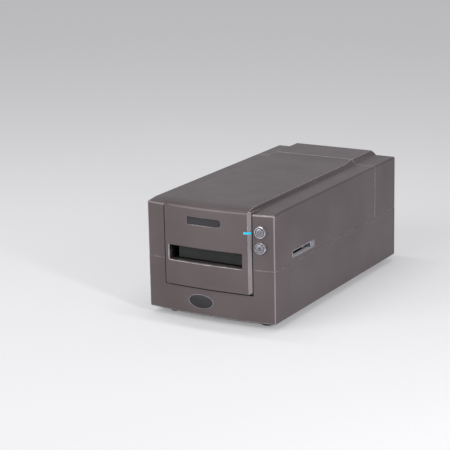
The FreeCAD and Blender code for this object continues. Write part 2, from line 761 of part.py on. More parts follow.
def band_cover():
    """The raised band: a bowed front plate with the film slot, rolled over into the top plate."""
    band = body("band_cover_shell")
    plan = bowed_plan(BAND_LEFT, BAND_RIGHT, "-band_proud", HOUSING_END)
    outline = sketch(band, "plan", "XY_Plane", "band_low_z", [plan])
    pad(band, "block", outline, "hump_z - band_low_z")
    above = [
        ("face_y - overrun", "band_z - facet_drop"),
        ("face_y", "band_z - facet_drop"),
        ("face_y + facet_run", "band_z"),
        (HOUSING_END + " - ramp_flat - ramp_run", "band_z"),
        (HOUSING_END + " - ramp_flat", "hump_z"),
        (HOUSING_END + " - ramp_flat", "hump_z + overrun"),
        ("face_y - overrun", "hump_z + overrun"),
    ]
    side = sketch(band, "side", "YZ_Plane", BAND_LEFT + " - overrun", [above])
    pocket(band, "top_line", side, "band_wide + 2 * overrun", back=True)
    brow = number("band_z - facet_drop")
    front = number("apex_y")
    drop = number("facet_drop")

    def brow_edge(edge):
        limits = edge.BoundBox
        level = abs(limits.ZMin - brow) < CLOSE_ENOUGH and limits.ZLength < drop / 2
        return level and limits.YMax < front and limits.XLength > limits.YLength
    dress(band, "roll", "Fillet", "band_roll", brow_edge)
    under = bowed_plan(BAND_LEFT + " - overrun", BAND_RIGHT + " + overrun", "0",
                       "rear_y")
    inside = sketch(band, "inside", "XY_Plane", "band_low_z - overrun", [under])
    pocket(band, "inner", inside, "top_z - band_low_z + overrun", back=True)
    low = number("band_low_z")
    feet = (number(BAND_LEFT), number(BAND_RIGHT))
    dress(band, "low_corners", "Fillet", "band_corner",
          lambda edge: any(lies_on(edge, x=x, z=low) for x in feet))
    slope = "band_chamfer * (band_proud + ramp_rise + overrun) / band_proud"
    crests = [
        [(BAND_RIGHT, "top_z"), (BAND_RIGHT + " + overrun", "top_z"),
         (BAND_RIGHT + " + overrun", "hump_z + overrun"),
         (BAND_RIGHT + " - " + slope, "hump_z + overrun")],
        [(BAND_LEFT, "top_z"), (BAND_LEFT + " - overrun", "top_z"),
         (BAND_LEFT + " - overrun", "hump_z + overrun"),
         (BAND_LEFT + " + " + slope, "hump_z + overrun")],
    ]
    pocket(band, "top_bevels", sketch(band, "crest", "XZ_Plane", "face_y - overrun", crests),
           "body_long")
    cheeks = []
    for foot, sign in ((BAND_RIGHT, "+"), (BAND_LEFT, "-")):
        inward = "-" if sign == "+" else "+"
        seat = bow_at("0", foot)
        cheeks.append([
            (foot, seat),
            (foot + sign + "overrun", seat),
            (foot + sign + "overrun", seat + " - 2 * band_proud"),
            (foot + inward + "2 * band_chamfer", seat + " - 2 * band_proud"),
        ])
    pocket(band, "front_bevels",
           sketch(band, "cheeks", "XY_Plane", "band_low_z - overrun", cheeks),
           "shell_tall", back=True)
    collar = sketch(band, "collar_end", "XZ_Plane", "collar_y", [oblong(
        SLOT_LEFT + " - slot_wall", SLOT_RIGHT + " + slot_wall",
        "slot_floor - slot_wall", "slot_roof + slot_wall")])
    tube = pad(band, "collar", collar, "slot_deep")
    tube.Type = "UpToFirst"
    doc.recompute()
    mouth = sketch(band, "mouth", "XZ_Plane", "face_y - overrun", [oblong(
        SLOT_LEFT, SLOT_RIGHT, "slot_floor", "slot_roof")])
    pocket(band, "slot", mouth, "2 * overrun + slot_deep")
    opening = [number(formula) for formula in (SLOT_LEFT, SLOT_RIGHT, "slot_floor", "slot_roof")]
    bow = number("front_bow")

    def lip_edge(edge):
        limits = edge.BoundBox
        inside = (limits.XMin > opening[0] - CLOSE and limits.XMax < opening[1] + CLOSE
                  and limits.ZMin > opening[2] - CLOSE and limits.ZMax < opening[3] + CLOSE)
        return inside and limits.YMax < front and limits.YLength < bow
    dress(band, "lip", "Chamfer", "slot_bevel", lip_edge)
    plate = sketch(band, "plate_edge", "XZ_Plane", "face_y - overrun", [oblong(
        "plate_shift - plate_wide / 2", "plate_shift + plate_wide / 2",
        "plate_z - plate_tall / 2", "plate_z + plate_tall / 2")])
    pocket(band, "plate_seat", plate, "overrun + plate_thick")
    round_end(band, "plate_end", "plate_shift + plate_wide / 2", "running_gap")
    pipe = box("light_notch", (LIGHT_LEFT, "half_wide"),
               ("face_y - overrun", "apex_y + front_bow"),
               (LIGHT_LOW, LIGHT_LOW + " + light_tall"))
    return cut("band_cover", band, pipe)


def round_end(owner, name, x, gap):
    """Round the plate's right end, or its seat's, at a place across the front."""
    end = number(x)
    dress(owner, name, "Fillet", "plate_tall / 2 - (%s)" % gap,
          lambda edge: edge.BoundBox.YLength > CLOSE and lies_on(edge, x=end)
          and edge.BoundBox.ZLength < CLOSE)


def nameplate():
    """The plate on the band, which carries nothing."""
    plate = body("nameplate")
    outline = oblong("plate_shift - plate_wide / 2 + running_gap",
                     "plate_shift + plate_wide / 2 - running_gap",
                     "plate_z - plate_tall / 2 + running_gap",
                     "plate_z + plate_tall / 2 - running_gap")
    pad(plate, "plate", sketch(plate, "outline", "XZ_Plane", "face_y + plate_thick", [outline]),
        "plate_thick")
    round_end(plate, "end", "plate_shift + plate_wide / 2 - running_gap", "2 * running_gap")
    return plate


def light_pipe():
    """A clear strip over the band's bevel, with a stem to the lamp behind."""
    strip = body("light_strip")
    edge = BAND_RIGHT + " - band_chamfer"
    outline = [
        (LIGHT_LEFT + " + running_gap", bow_at("-band_proud", LIGHT_LEFT)),
        (edge, bow_at("-band_proud", edge)),
        (BAND_RIGHT + " - running_gap", bow_at("0", BAND_RIGHT) + " - running_gap"),
        (LIGHT_LEFT + " + running_gap", bow_at("0", LIGHT_LEFT) + " - 2 * running_gap"),
    ]
    pad(strip, "strip", sketch(strip, "plan", "XY_Plane", LIGHT_LOW + " + running_gap",
                               [outline]), "light_tall - 2 * running_gap")
    stem = box("light_stem",
               (LIGHT_LEFT + " + running_gap", LIGHT_LEFT + " + light_thick"),
               (bow_at("0", LIGHT_LEFT) + " - light_thick / 2", "stem_stop_y - running_gap"),
               (LIGHT_LOW + " + running_gap", LIGHT_LOW + " + light_tall - running_gap"))
    return gather("light_pipe", strip, stem)


def turned(label, profile):
    """A piece turned about its own Y axis from a half section (radius, along)."""
    piece = body(label)
    half = sketch(piece, "section", "XY_Plane", "0", [profile])
    feature = piece.newObject("PartDesign::Revolution", label + "_turn")
    feature.Profile = half
    feature.ReferenceAxis = (half, ["V_Axis"])
    feature.Angle = 2 * HALF_TURN
    doc.recompute()
    return piece


def button_ring(label, z):
    """A domed ring round a button, with a neck through the wall."""
    ring = turned(label, [
        ("ring_bore", "-ring_proud * ring_lip_share"),
        ("ring_crest", "-ring_proud"),
        ("ring_shoulder", "-ring_proud * ring_edge_share"),
        ("ring_radius", "-2 * running_gap"),
        ("ring_neck", "-2 * running_gap"),
        ("ring_neck", "ring_long"),
        ("ring_bore", "ring_long"),
    ])
    return tilt(ring, z)


def button(label, z):
    """A round cap with a flange behind the ring and a stem to its switch."""
    cap = turned(label, [
        ("0", "-cap_proud - fit_gap"),
        ("ring_bore * cap_top_share", "-cap_proud - fit_gap / 2"),
        ("ring_bore - fit_gap", "-cap_proud * cap_rim_share"),
        ("ring_bore - fit_gap", "flange_y"),
        ("ring_neck - running_gap", "flange_y"),
        ("ring_neck - running_gap", "flange_y + flange_thick"),
        ("stem_radius", "flange_y + flange_thick"),
        ("stem_radius", "stem_end"),
        ("0", "stem_end"),
    ])
    return tilt(cap, z)


def switch_board():
    """The circuit board behind the buttons, square to the bow."""
    main = box("board_main", ("-board_reach", "board_edge"),
               ("switch_y", "switch_y + board_thick"),
               ("-button_pitch - board_edge", "board_edge"))
    tab = box("board_light_tab", ("-board_reach - board_tab", "-board_reach"),
              ("switch_y", "switch_y + board_thick"), ("-board_edge", "board_edge"))
    return tilt(gather("switch_board", main, tab), "button_z")


def tact_switches():
    """The two push switches under the button stems."""
    cubes = [box("tact_" + word, ("-tact_side / 2", "tact_side / 2"),
                 ("tact_y", "switch_y"), (z + " - tact_side / 2", z + " + tact_side / 2"))
             for word, z in (("upper", "0"), ("lower", "-button_pitch"))]
    return tilt(gather("tact_switches", *cubes), "button_z")


def status_lamp():
    """The lamp on the switch board, behind the light pipe's stem."""
    lamp = box("lamp_case", ("-led_shift - led_side / 2", "-led_shift + led_side / 2"),
               ("switch_y - led_tall", "switch_y"), ("-led_side / 2", "led_side / 2"))
    ring = rod("lamp_dome", "y", ("-led_shift", "lamp_tip_y", "0"), "led_tall", "led_side / 3")
    return tilt(gather("status_lamp", lamp, ring), "light_z")


def slot_throat():
    """The dark tunnel behind the slot, which carries the flap's pin."""
    tunnel = box("throat_block",
                 (SLOT_LEFT + " - throat_wall", SLOT_RIGHT + " + throat_wall"),
                 ("throat_y", "chassis_y"),
                 ("slot_floor - throat_wall", "slot_roof + throat_rise + throat_wall"))
    inside = box("throat_inside", (SLOT_LEFT, SLOT_RIGHT),
                 ("throat_y - overrun", "chassis_y + overrun"),
                 ("slot_floor", "slot_roof + throat_rise"))
    hole = rod("throat_pin_hole", "x", (SLOT_LEFT + " - overrun", "pin_y", "pin_z"),
               "slot_wide + 2 * overrun", "pin_radius + running_gap")
    return cut("slot_throat", tunnel, inside, hole)


def dust_flap():
    """The flap that hangs across the slot from a pin through its two knuckles."""
    left = SLOT_LEFT + " + flap_left_edge"
    plate = box("flap_plate", (left, left + " + flap_wide"),
                ("pin_y - flap_thick / 2", "pin_y + flap_thick / 2"),
                ("slot_floor + flap_clear", "pin_z"))
    knuckles = [rod("knuckle_" + word, "x", (start, "pin_y", "pin_z"), "knuckle_wide",
                    "knuckle_radius")
                for word, start in (("left", left), ("right", left + " + flap_wide - knuckle_wide"))]
    hole = rod("flap_pin_hole", "x", (left + " - overrun", "pin_y", "pin_z"),
               "flap_wide + 2 * overrun", "pin_radius + running_gap")
    return cut("dust_flap", gather("flap_blank", plate, *knuckles), hole)


def flap_pin():
    """The pin that the flap swings on."""
    return rod("flap_pin", "x", (SLOT_LEFT + " - throat_wall", "pin_y", "pin_z"),
               "slot_wide + 2 * throat_wall", "pin_radius")


def lock_tray():
    """The silver surround of the lock slide, recessed into the right side."""
    flange = lock_box("lock_flange_plate", "half_wide - lock_flange", "half_wide", "0")
    tub = lock_box("lock_tub", "half_wide - lock_deep - lock_flange",
                   "half_wide - lock_flange / 2", "lock_lip")
    cavity = lock_box("lock_cavity", "half_wide - lock_deep", "half_wide + overrun", "lock_rim")
    slit = box("lock_slit",
               ("half_wide - lock_deep - overrun", "half_wide"),
               ("lock_y + lock_rim + lock_step", "lock_y + lock_long - lock_rim - lock_step"),
               ("lock_z - lock_slit / 2", "lock_z + lock_slit / 2"))
    return cut("lock_tray", gather("lock_tray_blank", flange, tub), cavity, slit)


def lock_knob():
    """The finger block of the lock slide, at the rear end of its slit."""
    end = "lock_y + lock_long - lock_rim - fit_gap"
    block = box("knob_block",
                ("half_wide - lock_deep + fit_gap", "half_wide - fit_gap"),
                (end + " - knob_long", end),
                ("lock_z - lock_tall / 2 + lock_rim + fit_gap",
                 "lock_z + lock_tall / 2 - lock_rim - fit_gap"))
    neck = box("knob_neck",
               ("half_wide - lock_deep - lock_flange - fit_gap",
                "half_wide - lock_deep + 2 * fit_gap"),
               (end + " - knob_long + lock_step", end + " - lock_step"),
               ("lock_z - lock_slit / 2 + fit_gap", "lock_z + lock_slit / 2 - fit_gap"))
    return gather("lock_knob", block, neck)


def lock_bar():
    """The steel strip that the lock knob moves."""
    face = "half_wide - lock_deep - lock_flange - fit_gap"
    middle = "lock_y + lock_long - lock_rim - fit_gap - knob_long / 2"
    return box("lock_bar", (face + " - slide_thick", face),
               (middle + " - slide_long / 2", middle + " + slide_long / 2"),
               ("lock_z - lock_tall / 2", "lock_z + lock_tall / 2"))


def base_pan():
    """The dark pan under the housing, set in all round."""
    pan = body("base_pan_plate")
    outline = bowed_plan("pan_inset - half_wide", "half_wide - pan_inset", "pan_inset",
                         "rear_y - pan_inset")
    pad(pan, "plate", sketch(pan, "plan", "XY_Plane", "pan_z", [outline]), "pan_thick")
    return cut("base_pan", pan,
               *screw_rods("pan_hole", "pan_z - overrun", "lift + overrun", "running_gap"))


def rubber_feet():
    """Four round feet under the corners of the pan."""
    places_y = (("front", "corner_y + foot_inset + foot_radius"),
                ("rear", "rear_y - foot_inset - foot_radius"))
    return gather("rubber_feet", *[
        rod("foot_%s_%s" % (word, end), "z",
            (sign + "(half_wide - foot_inset - foot_radius)", y, "0"), "pan_z", "foot_radius")
        for word, sign in SIDES for end, y in places_y])


def case_screws():
    """Four screws from under the pan, through the tub's bosses into the chassis."""
    shanks = screw_rods("shank", "pan_z", "deck_z", "0")
    heads = screw_rods("head", "pan_z - head_tall", "pan_z", "screw_head - screw_radius")
    return gather("case_screws", *shanks, *heads)


def chassis():
    """The open tray that carries the film path, the drive and the optics."""
    tray = body("chassis_tray")
    inner_left = "chassis_left + chassis_wall"
    inner_right = "chassis_right - chassis_wall"
    section = [
        ("chassis_left", "tray_z"), ("chassis_right", "tray_z"),
        ("chassis_right", "stage_z"), (inner_right, "stage_z"),
        (inner_right, "deck_z"), (inner_left, "deck_z"),
        (inner_left, "stage_z"), ("chassis_left", "stage_z"),
    ]
    pad(tray, "channel", sketch(tray, "section", "XZ_Plane", "chassis_y", [section]),
        "chassis_long", back=True)
    ribs = [box("rib_" + word, (inner_left, inner_right), (y, y + " + rib_thick"),
                ("deck_z", "axis_z + lens_radius + rib_thick"))
            for word, y in (("front", "rib_y"), ("rear", "rib_end - rib_thick"))]
    through = "rib_end - rib_y + 2 * overrun"
    start = "rib_y - overrun"
    holes = [rod("light_window", "y", ("slot_shift", start, "axis_z"), through,
                 "lens_radius + fit_gap")]
    holes += [rod("rod_hole_" + word, "y", ("slot_shift " + sign + " rod_space / 2", start,
                                            "rod_z"), through, "rod_radius + running_gap")
              for word, sign in SIDES]
    holes.append(rod("screw_hole", "y", ("screw_x", start, "rod_z"), through,
                     "focus_screw + running_gap"))
    across = "chassis_wide + 2 * overrun"
    holes.append(rod("bush_hole", "x", ("chassis_left - overrun", "roller_y", "roller_z"),
                     across, "bush_radius + running_gap"))
    inside = "chassis_right - chassis_wall - overrun"
    holes.append(rod("idler_hole", "x", (inside, "idler_y", "idler_z"),
                     "chassis_wall + 2 * overrun", "idler_pin + running_gap"))
    holes.append(rod("motor_hole", "x", (inside, "pinion_y", "pinion_z"),
                     "chassis_wall + 2 * overrun", "2 * motor_shaft"))
    holes += screw_rods("tray_hole", "tray_z - overrun", "deck_z + overrun", "running_gap")
    return cut("chassis", gather("chassis_blank", tray, *ribs), *holes)


def film_stage():
    """The flat bed that the film holder slides on, with the light slit and roller windows."""
    bed = box("stage_bed", ("chassis_left", "chassis_right"), ("chassis_y", "chassis_end"),
              ("stage_z", "path_z"))
    slit = box("stage_slit", ("slot_shift - aperture_wide / 2", "slot_shift + aperture_wide / 2"),
               ("aperture_y - aperture_long / 2", "aperture_y + aperture_long / 2"),
               ("stage_z - overrun", "path_z + overrun"))
    windows = [box("roller_window_" + word,
                   ("slot_shift %s roller_space / 2 - roller_long / 2 - bush_lip" % sign,
                    "slot_shift %s roller_space / 2 + roller_long / 2 + bush_lip" % sign),
                   ("roller_y - roller_radius", "roller_y + roller_radius"),
                   ("stage_z - overrun", "path_z + overrun"))
               for word, sign in SIDES]
    return cut("film_stage", bed, slit, *windows)


def guide_rails():
    """The two rails that keep the film holder straight."""
    rails = []
    for word, sign in SIDES:
        inner = "slot_shift %s path_wide / 2" % sign
        outer = "slot_shift %s (path_wide / 2 + rail_wide)" % sign
        span = (outer, inner) if sign == "-" else (inner, outer)
        rails.append(box("rail_" + word, span, ("chassis_y", "chassis_end"),
                         ("path_z", "rail_z")))
    return gather("guide_rails", *rails)


def at_rollers(label, z, radius, bore):
    """Two rollers on a cross shaft at some height."""
    wheels = [rod("%s_%s" % (label, word), "x",
                  ("slot_shift %s roller_space / 2 - roller_long / 2" % sign, "roller_y", z),
                  "roller_long", radius) for word, sign in SIDES]
    core = rod(label + "_core", "x", ("chassis_left", "roller_y", z), "chassis_wide", bore)
    return cut(label, gather(label + "_blank", *wheels), core)


def drive_shaft():
    """The cross shaft of the feed rollers, which carries the drive gear at its right end."""
    start = "chassis_left - bush_lip - fit_gap"
    return rod("drive_shaft", "x", (start, "roller_y", "roller_z"),
               "gear_x + gear_thick + bush_lip - (%s)" % start, "shaft_radius")


def shaft_bushes():
    """A flanged bush in each wall of the chassis."""
    bushes = []
    for word, wall, lip in (("left", "chassis_left", "chassis_left - bush_lip"),
                            ("right", "chassis_right - chassis_wall", "chassis_right")):
        sleeve = rod("bush_sleeve_" + word, "x", (wall, "roller_y", "roller_z"),
                     "chassis_wall", "bush_radius")
        flange = rod("bush_flange_" + word, "x", (lip, "roller_y", "roller_z"),
                     "bush_lip", "bush_flange")
        bushes += [sleeve, flange]
    bore = rod("bush_bore", "x", ("chassis_left - overrun", "roller_y", "roller_z"),
               "chassis_wide + 2 * overrun", "shaft_radius + running_gap")
    return cut("shaft_bushes", gather("bush_blanks", *bushes), bore)


def pinch_shaft():
    """The free cross shaft above the film path."""
    return rod("pinch_shaft", "x",
               ("slot_shift - path_wide / 2 - rail_wide", "roller_y", "pinch_z"),
               "path_wide + 2 * rail_wide", "pinch_shaft")


def pinch_brackets():
    """The two plates on the rails that hold the pinch shaft."""
    plates = []
    for word, sign in SIDES:
        inner = "slot_shift %s (path_wide / 2 + rail_wide / 2 - bracket_thick / 2)" % sign
        outer = "slot_shift %s (path_wide / 2 + rail_wide / 2 + bracket_thick / 2)" % sign
        span = (outer, inner) if sign == "-" else (inner, outer)
        plates.append(box("pinch_plate_" + word, span,
                          ("roller_y - pinch_radius", "roller_y + pinch_radius"),
                          ("rail_z", "pinch_z + pinch_radius")))
    hole = rod("pinch_hole", "x", ("chassis_left", "roller_y", "pinch_z"), "chassis_wide",
               "pinch_shaft + running_gap")
    return cut("pinch_brackets", gather("pinch_plates", *plates), hole)


def involute(angle):
    """The involute function, in radians."""
    return math.tan(angle) - angle


def tooth_phase(direction, tooth_angle, pitch):
    """How far, in teeth, a direction lies past the nearest tooth centre."""
    return ((direction - tooth_angle) / pitch) % 1.0


FLANK_SHARES = (0.0, 0.35, 0.7, 1.0)


def gear_face(teeth, tooth_angle):
    """A spur gear's outline in the YZ plane, with one tooth centred on an angle."""
    module = number("tooth_size")
    pitch_radius = module * teeth / 2
    pressure = math.radians(number("pressure_angle"))
    base_radius = pitch_radius * math.cos(pressure)
    tip_radius = pitch_radius + module
    root_radius = pitch_radius - module * number("root_share")
    half_tooth = math.pi / (2 * teeth) - number("tooth_backlash") / 2 / pitch_radius
    half_base = half_tooth + involute(pressure)
    flank = []
    for share in FLANK_SHARES:
        radius = root_radius + (tip_radius - root_radius) * share
        if radius <= base_radius:
            flank.append((radius, half_base))
        else:
            flank.append((radius, half_base - involute(math.acos(base_radius / radius))))
    points = []
    for tooth in range(teeth):
        centre = math.radians(tooth_angle) + 2 * math.pi * tooth / teeth
        sides = [(r, centre - a) for r, a in flank] + [(r, centre + a) for r, a in flank[::-1]]
        points += [Vector(0, r * math.cos(a), r * math.sin(a)) for r, a in sides]
    return Part.Face(Part.makePolygon(points + [points[0]]))


def spur_gear(label, teeth, bore, tooth_angle, y, z):
    """A spur gear about an X axis at a place in the gear plane."""
    gear = parts_group("Part::Feature", label)
    along = Vector(number("gear_thick"), 0, 0)
    blank = gear_face(int(number(teeth)), tooth_angle).extrude(along)
    gear.Shape = blank.cut(Part.makeCylinder(number(bore), along.Length, Vector(), along))
    gear.Placement = Placement(Vector(number("gear_x"), number(y), number(z)), Rotation())
    return gear


def feed_gears():
    """The drive gear, the idler and the motor pinion, in mesh."""
    drive_to_idler = -number("idler_angle")
    idler_to_pinion = -number("pinion_angle")
    idler_pitch = 2 * HALF_TURN / number("idler_teeth")
    pinion_pitch = 2 * HALF_TURN / number("pinion_teeth")
    idler_tooth = drive_to_idler + HALF_TURN + idler_pitch / 2
    phase = tooth_phase(idler_to_pinion, idler_tooth, idler_pitch)
    pinion_tooth = idler_to_pinion + HALF_TURN - pinion_pitch / 2 + pinion_pitch * phase
    return [
        spur_gear("drive_gear", "drive_teeth", "shaft_radius", drive_to_idler,
                  "roller_y", "roller_z"),
        spur_gear("idler_gear", "idler_teeth", "idler_pin + running_gap", idler_tooth,
                  "idler_y", "idler_z"),
        spur_gear("motor_pinion", "pinion_teeth", "motor_shaft", pinion_tooth,
                  "pinion_y", "pinion_z"),
    ]


def idler_pin():
    """The fixed pin that the idler turns on."""
    return rod("idler_pin", "x", ("chassis_right - chassis_wall", "idler_y", "idler_z"),
               "gear_x + gear_thick + fit_gap - chassis_right + chassis_wall", "idler_pin")


def feed_motor():
    """The feed motor's can, inside the chassis wall."""
    face = "chassis_right - chassis_wall"
    can = rod("motor_can", "x", (face + " - motor_long", "pinion_y", "pinion_z"),
              "motor_long", "motor_radius")
    bore = rod("motor_bore", "x", (face + " - motor_long / 2", "pinion_y", "pinion_z"),
               "motor_long", "motor_shaft + running_gap")
    return cut("feed_motor", can, bore)


def motor_shaft():
    """The motor's shaft, through the wall to the pinion."""
    start = "chassis_right - chassis_wall - motor_long / 2 + fit_gap"
    return rod("motor_shaft", "x", (start, "pinion_y", "pinion_z"),
               "gear_x + gear_thick - (%s)" % start, "motor_shaft")


def lamp_housing():
    """The hood over the light slit, open below."""
    x = ("slot_shift - lamp_wide / 2", "slot_shift + lamp_wide / 2")
    y = ("aperture_y - lamp_long / 2", "aperture_y + lamp_long / 2")
    hood = box("lamp_hood", x, y, ("rail_z", "rail_z + lamp_tall"))
    inside = box("lamp_inside", (x[0] + " + lamp_wall", x[1] + " - lamp_wall"),
                 (y[0] + " + lamp_wall", y[1] + " - lamp_wall"),
                 ("rail_z - overrun", "rail_z + lamp_tall - lamp_wall"))
    return cut("lamp_housing", hood, inside)


def lamp_tube():
    """The lamp across the film path, from end to end of its hood."""
    return rod("lamp_tube", "x", ("slot_shift - lamp_wide / 2 + lamp_wall", "aperture_y",
                                  "rail_z + lamp_tall / 2"),
               "lamp_wide - 2 * lamp_wall", "tube_radius")


def diffuser():
    """The opal plate under the lamp, laid on the rails."""
    side = "lamp_wall + running_gap"
    return box("diffuser",
               ("slot_shift - lamp_wide / 2 + " + side, "slot_shift + lamp_wide / 2 - (%s)" % side),
               ("aperture_y - lamp_long / 2 + " + side,
                "aperture_y + lamp_long / 2 - (%s)" % side),
               ("rail_z", "rail_z + diffuser_thick"))


def fold_mirror():
    """The mirror that turns the light from the slit towards the lens."""
    mirror = parts_group("Part::Box", "fold_mirror")
    bind(mirror, "Length", "mirror_wide")
    bind(mirror, "Width", "mirror_thick")
    bind(mirror, "Height", "mirror_tall")
    mirror.Placement = Placement(Vector(), Rotation(Vector(1, 0, 0), HALF_TURN / 4))
    return place(mirror, "slot_shift - mirror_wide / 2", "mirror_back_y + mirror_half",
                 "mirror_back_z - mirror_half")


def mirror_bracket():
    """Two cheeks and a sloping plate that hold the mirror at half a right angle."""
    bracket = body("mirror_bracket")
    top = "mirror_back_z + mirror_half"
    low = "mirror_back_z - mirror_half"
    front = "mirror_back_y - mirror_half"
    back = "mirror_back_y + mirror_half"
    outline = [(front, "deck_z"), (back, "deck_z"), (back, low), (front, top)]
    pad(bracket, "block", sketch(bracket, "side", "YZ_Plane", "slot_shift - mirror_wide / 2",
                                 [outline]), "mirror_wide")
    drop = "sqrt(2) * cheek_thick"
    inner = [(front + " - overrun", "deck_z - overrun"), (back + " + overrun", "deck_z - overrun"),
             (back + " + overrun", low + " - overrun - " + drop),
             (front + " - overrun", top + " + overrun - " + drop)]
    pocket(bracket, "hollow", sketch(bracket, "inner_side", "YZ_Plane",
                                     "slot_shift - mirror_wide / 2 + cheek_thick", [inner]),
           "mirror_wide - 2 * cheek_thick", back=True)
    return bracket


def lens_barrel():
    """The lens barrel, with a lip at its front and a seat for a glass at each end."""
    seat = "glass_radius + running_gap"
    barrel = turned("lens_barrel", [
        ("glass_radius - lens_lip", "-lens_long / 2 + 2 * glass_thick"),
        (seat, "-lens_long / 2 + 2 * glass_thick"),
        (seat, "-lens_long / 2"),
        ("lens_radius", "-lens_long / 2"),
        ("lens_radius", "lens_long / 2"),
        (seat, "lens_long / 2"),
        (seat, "lens_long / 2 - 2 * glass_thick"),
        ("glass_radius - lens_lip", "lens_long / 2 - 2 * glass_thick"),
    ])
    return place(barrel, "slot_shift", "lens_y", "axis_z")


def lens_glass():
    """The two end glasses of the lens."""
    return gather("lens_glass", *[
        rod("glass_" + word, "y", ("slot_shift", y, "axis_z"), "glass_thick", "glass_radius")
        for word, y in (("front", "lens_y - lens_long / 2 + glass_thick"),
                        ("rear", "lens_y + lens_long / 2 - 2 * glass_thick"))])


def lens_carriage():
    """The block on two rods that cradles the lens and moves it to focus."""
    start = "lens_y - carriage_long / 2"
    block = box("carriage_block",
                ("slot_shift - carriage_wide / 2", "slot_shift + carriage_wide / 2"),
                (start, start + " + carriage_long"), ("axis_z - carriage_drop", "axis_z"))
    begin = start + " - overrun"
    through = "carriage_long + 2 * overrun"
    holes = [rod("cradle", "y", ("slot_shift", begin, "axis_z"), through,
                 "lens_radius + running_gap")]
    holes += [rod("bearing_" + word, "y", ("slot_shift " + sign + " rod_space / 2", begin,
                                           "rod_z"), through, "rod_radius + running_gap")
              for word, sign in SIDES]
    holes.append(rod("nut_hole", "y", ("screw_x", begin, "rod_z"), through,
                     "2 * focus_screw + running_gap"))
    return cut("lens_carriage", block, *holes)


def lens_strap():
    """The strap that clamps the lens into its cradle."""
    start = "lens_y - strap_long / 2"
    outer = rod("strap_outer", "y", ("slot_shift", start, "axis_z"), "strap_long",
                "lens_radius + running_gap + strap_thick")
    ears = box("strap_ears",
               ("slot_shift - lens_radius - 4 * strap_thick",
                "slot_shift + lens_radius + 4 * strap_thick"),
               (start, start + " + strap_long"), ("axis_z", "axis_z + strap_thick"))
    inner = rod("strap_inner", "y", ("slot_shift", start + " - overrun", "axis_z"),
                "strap_long + 2 * overrun", "lens_radius + running_gap")
    lower = box("strap_lower", ("chassis_left", "chassis_right"),
                (start + " - overrun", start + " + strap_long + overrun"),
                ("axis_z - 2 * lens_radius", "axis_z"))
    return cut("lens_strap", gather("strap_blank", outer, ears), inner, lower)


def focus_nut():
    """The nut in the carriage that runs on the focus screw."""
    start = "lens_y - carriage_long / 2"
    nut = rod("nut_blank", "y", ("screw_x", start, "rod_z"), "carriage_long", "2 * focus_screw")
    bore = rod("nut_bore", "y", ("screw_x", start + " - overrun", "rod_z"),
               "carriage_long + 2 * overrun", "focus_screw + running_gap")
    return cut("focus_nut", nut, bore)


def focus_rods():
    """The two rods between the ribs that the carriage slides on."""
    return gather("focus_rods", *[
        rod("focus_rod_" + word, "y", ("slot_shift " + sign + " rod_space / 2", "rib_y", "rod_z"),
            "rib_end - rib_y", "rod_radius") for word, sign in SIDES])


def focus_screw():
    """The screw that moves the carriage, turned by the motor behind the rear rib."""
    return rod("focus_screw", "y", ("screw_x", "rib_y", "rod_z"),
               "rib_end - rib_y + focus_motor_long / 2", "focus_screw")


def focus_motor():
    """The small motor of the focus screw, on the rear rib."""
    can = rod("focus_can", "y", ("screw_x", "rib_end", "rod_z"), "focus_motor_long",
              "focus_motor")
    bore = rod("focus_bore", "y", ("screw_x", "rib_end - overrun", "rod_z"),
               "focus_motor_long / 2 + overrun + fit_gap", "focus_screw + running_gap")
    return cut("focus_motor", can, bore)


def line_sensor():
    """The line sensor that faces the lens."""
    return box("line_sensor", ("slot_shift - sensor_wide / 2", "slot_shift + sensor_wide / 2"),
               ("sensor_y", "sensor_y + sensor_thick"),
               ("axis_z - sensor_tall / 2", "axis_z + sensor_tall / 2"))


def sensor_board():
    """The board that carries the line sensor."""
    return box("sensor_board",
               ("slot_shift - sensor_board_wide / 2", "slot_shift + sensor_board_wide / 2"),
               ("sensor_y + sensor_thick", "sensor_y + sensor_thick + board_thick"),
               ("axis_z - sensor_board_tall / 2", "axis_z + sensor_board_tall / 2"))


def sensor_bracket():
    """The bent plate that stands the sensor board on the deck."""
    bracket = body("sensor_bracket")
    front = "sensor_y + sensor_thick + board_thick"
    section = [
        (front, "deck_z"), (front + " + sensor_board_tall / 2", "deck_z"),
        (front + " + sensor_board_tall / 2", "deck_z + chassis_wall"),
        (front + " + chassis_wall", "deck_z + chassis_wall"),
        (front + " + chassis_wall", "axis_z + sensor_board_tall / 2"),
        (front, "axis_z + sensor_board_tall / 2"),
    ]
    pad(bracket, "angle", sketch(bracket, "side", "YZ_Plane",
                                 "slot_shift - sensor_board_wide / 2", [section]),
        "sensor_board_wide")
    return bracket


BOARD_START = "aperture_y - board_long / 4"
BOARD_FACE = "chassis_left - standoff_long"
BOARD_MIDDLE = "(deck_z + stage_z) / 2"


def main_board():
    """The main circuit board, upright beside the chassis."""
    return box("main_board", (BOARD_FACE + " - board_thick", BOARD_FACE),
               (BOARD_START, BOARD_START + " + board_long"),
               (BOARD_MIDDLE + " - board_tall / 2", BOARD_MIDDLE + " + board_tall / 2"))


def board_standoffs():
    """Four pillars between the chassis wall and the main board."""
    corners = [(y, z) for y in (BOARD_START + " + 2 * standoff_radius",
                                BOARD_START + " + board_long - 2 * standoff_radius")
               for z in (BOARD_MIDDLE + " - board_tall / 2 + 2 * standoff_radius",
                         BOARD_MIDDLE + " + board_tall / 2 - 2 * standoff_radius")]
    return gather("board_standoffs", *[
        rod("standoff_%d" % index, "x", (BOARD_FACE, y, z), "standoff_long", "standoff_radius")
        for index, (y, z) in enumerate(corners)])


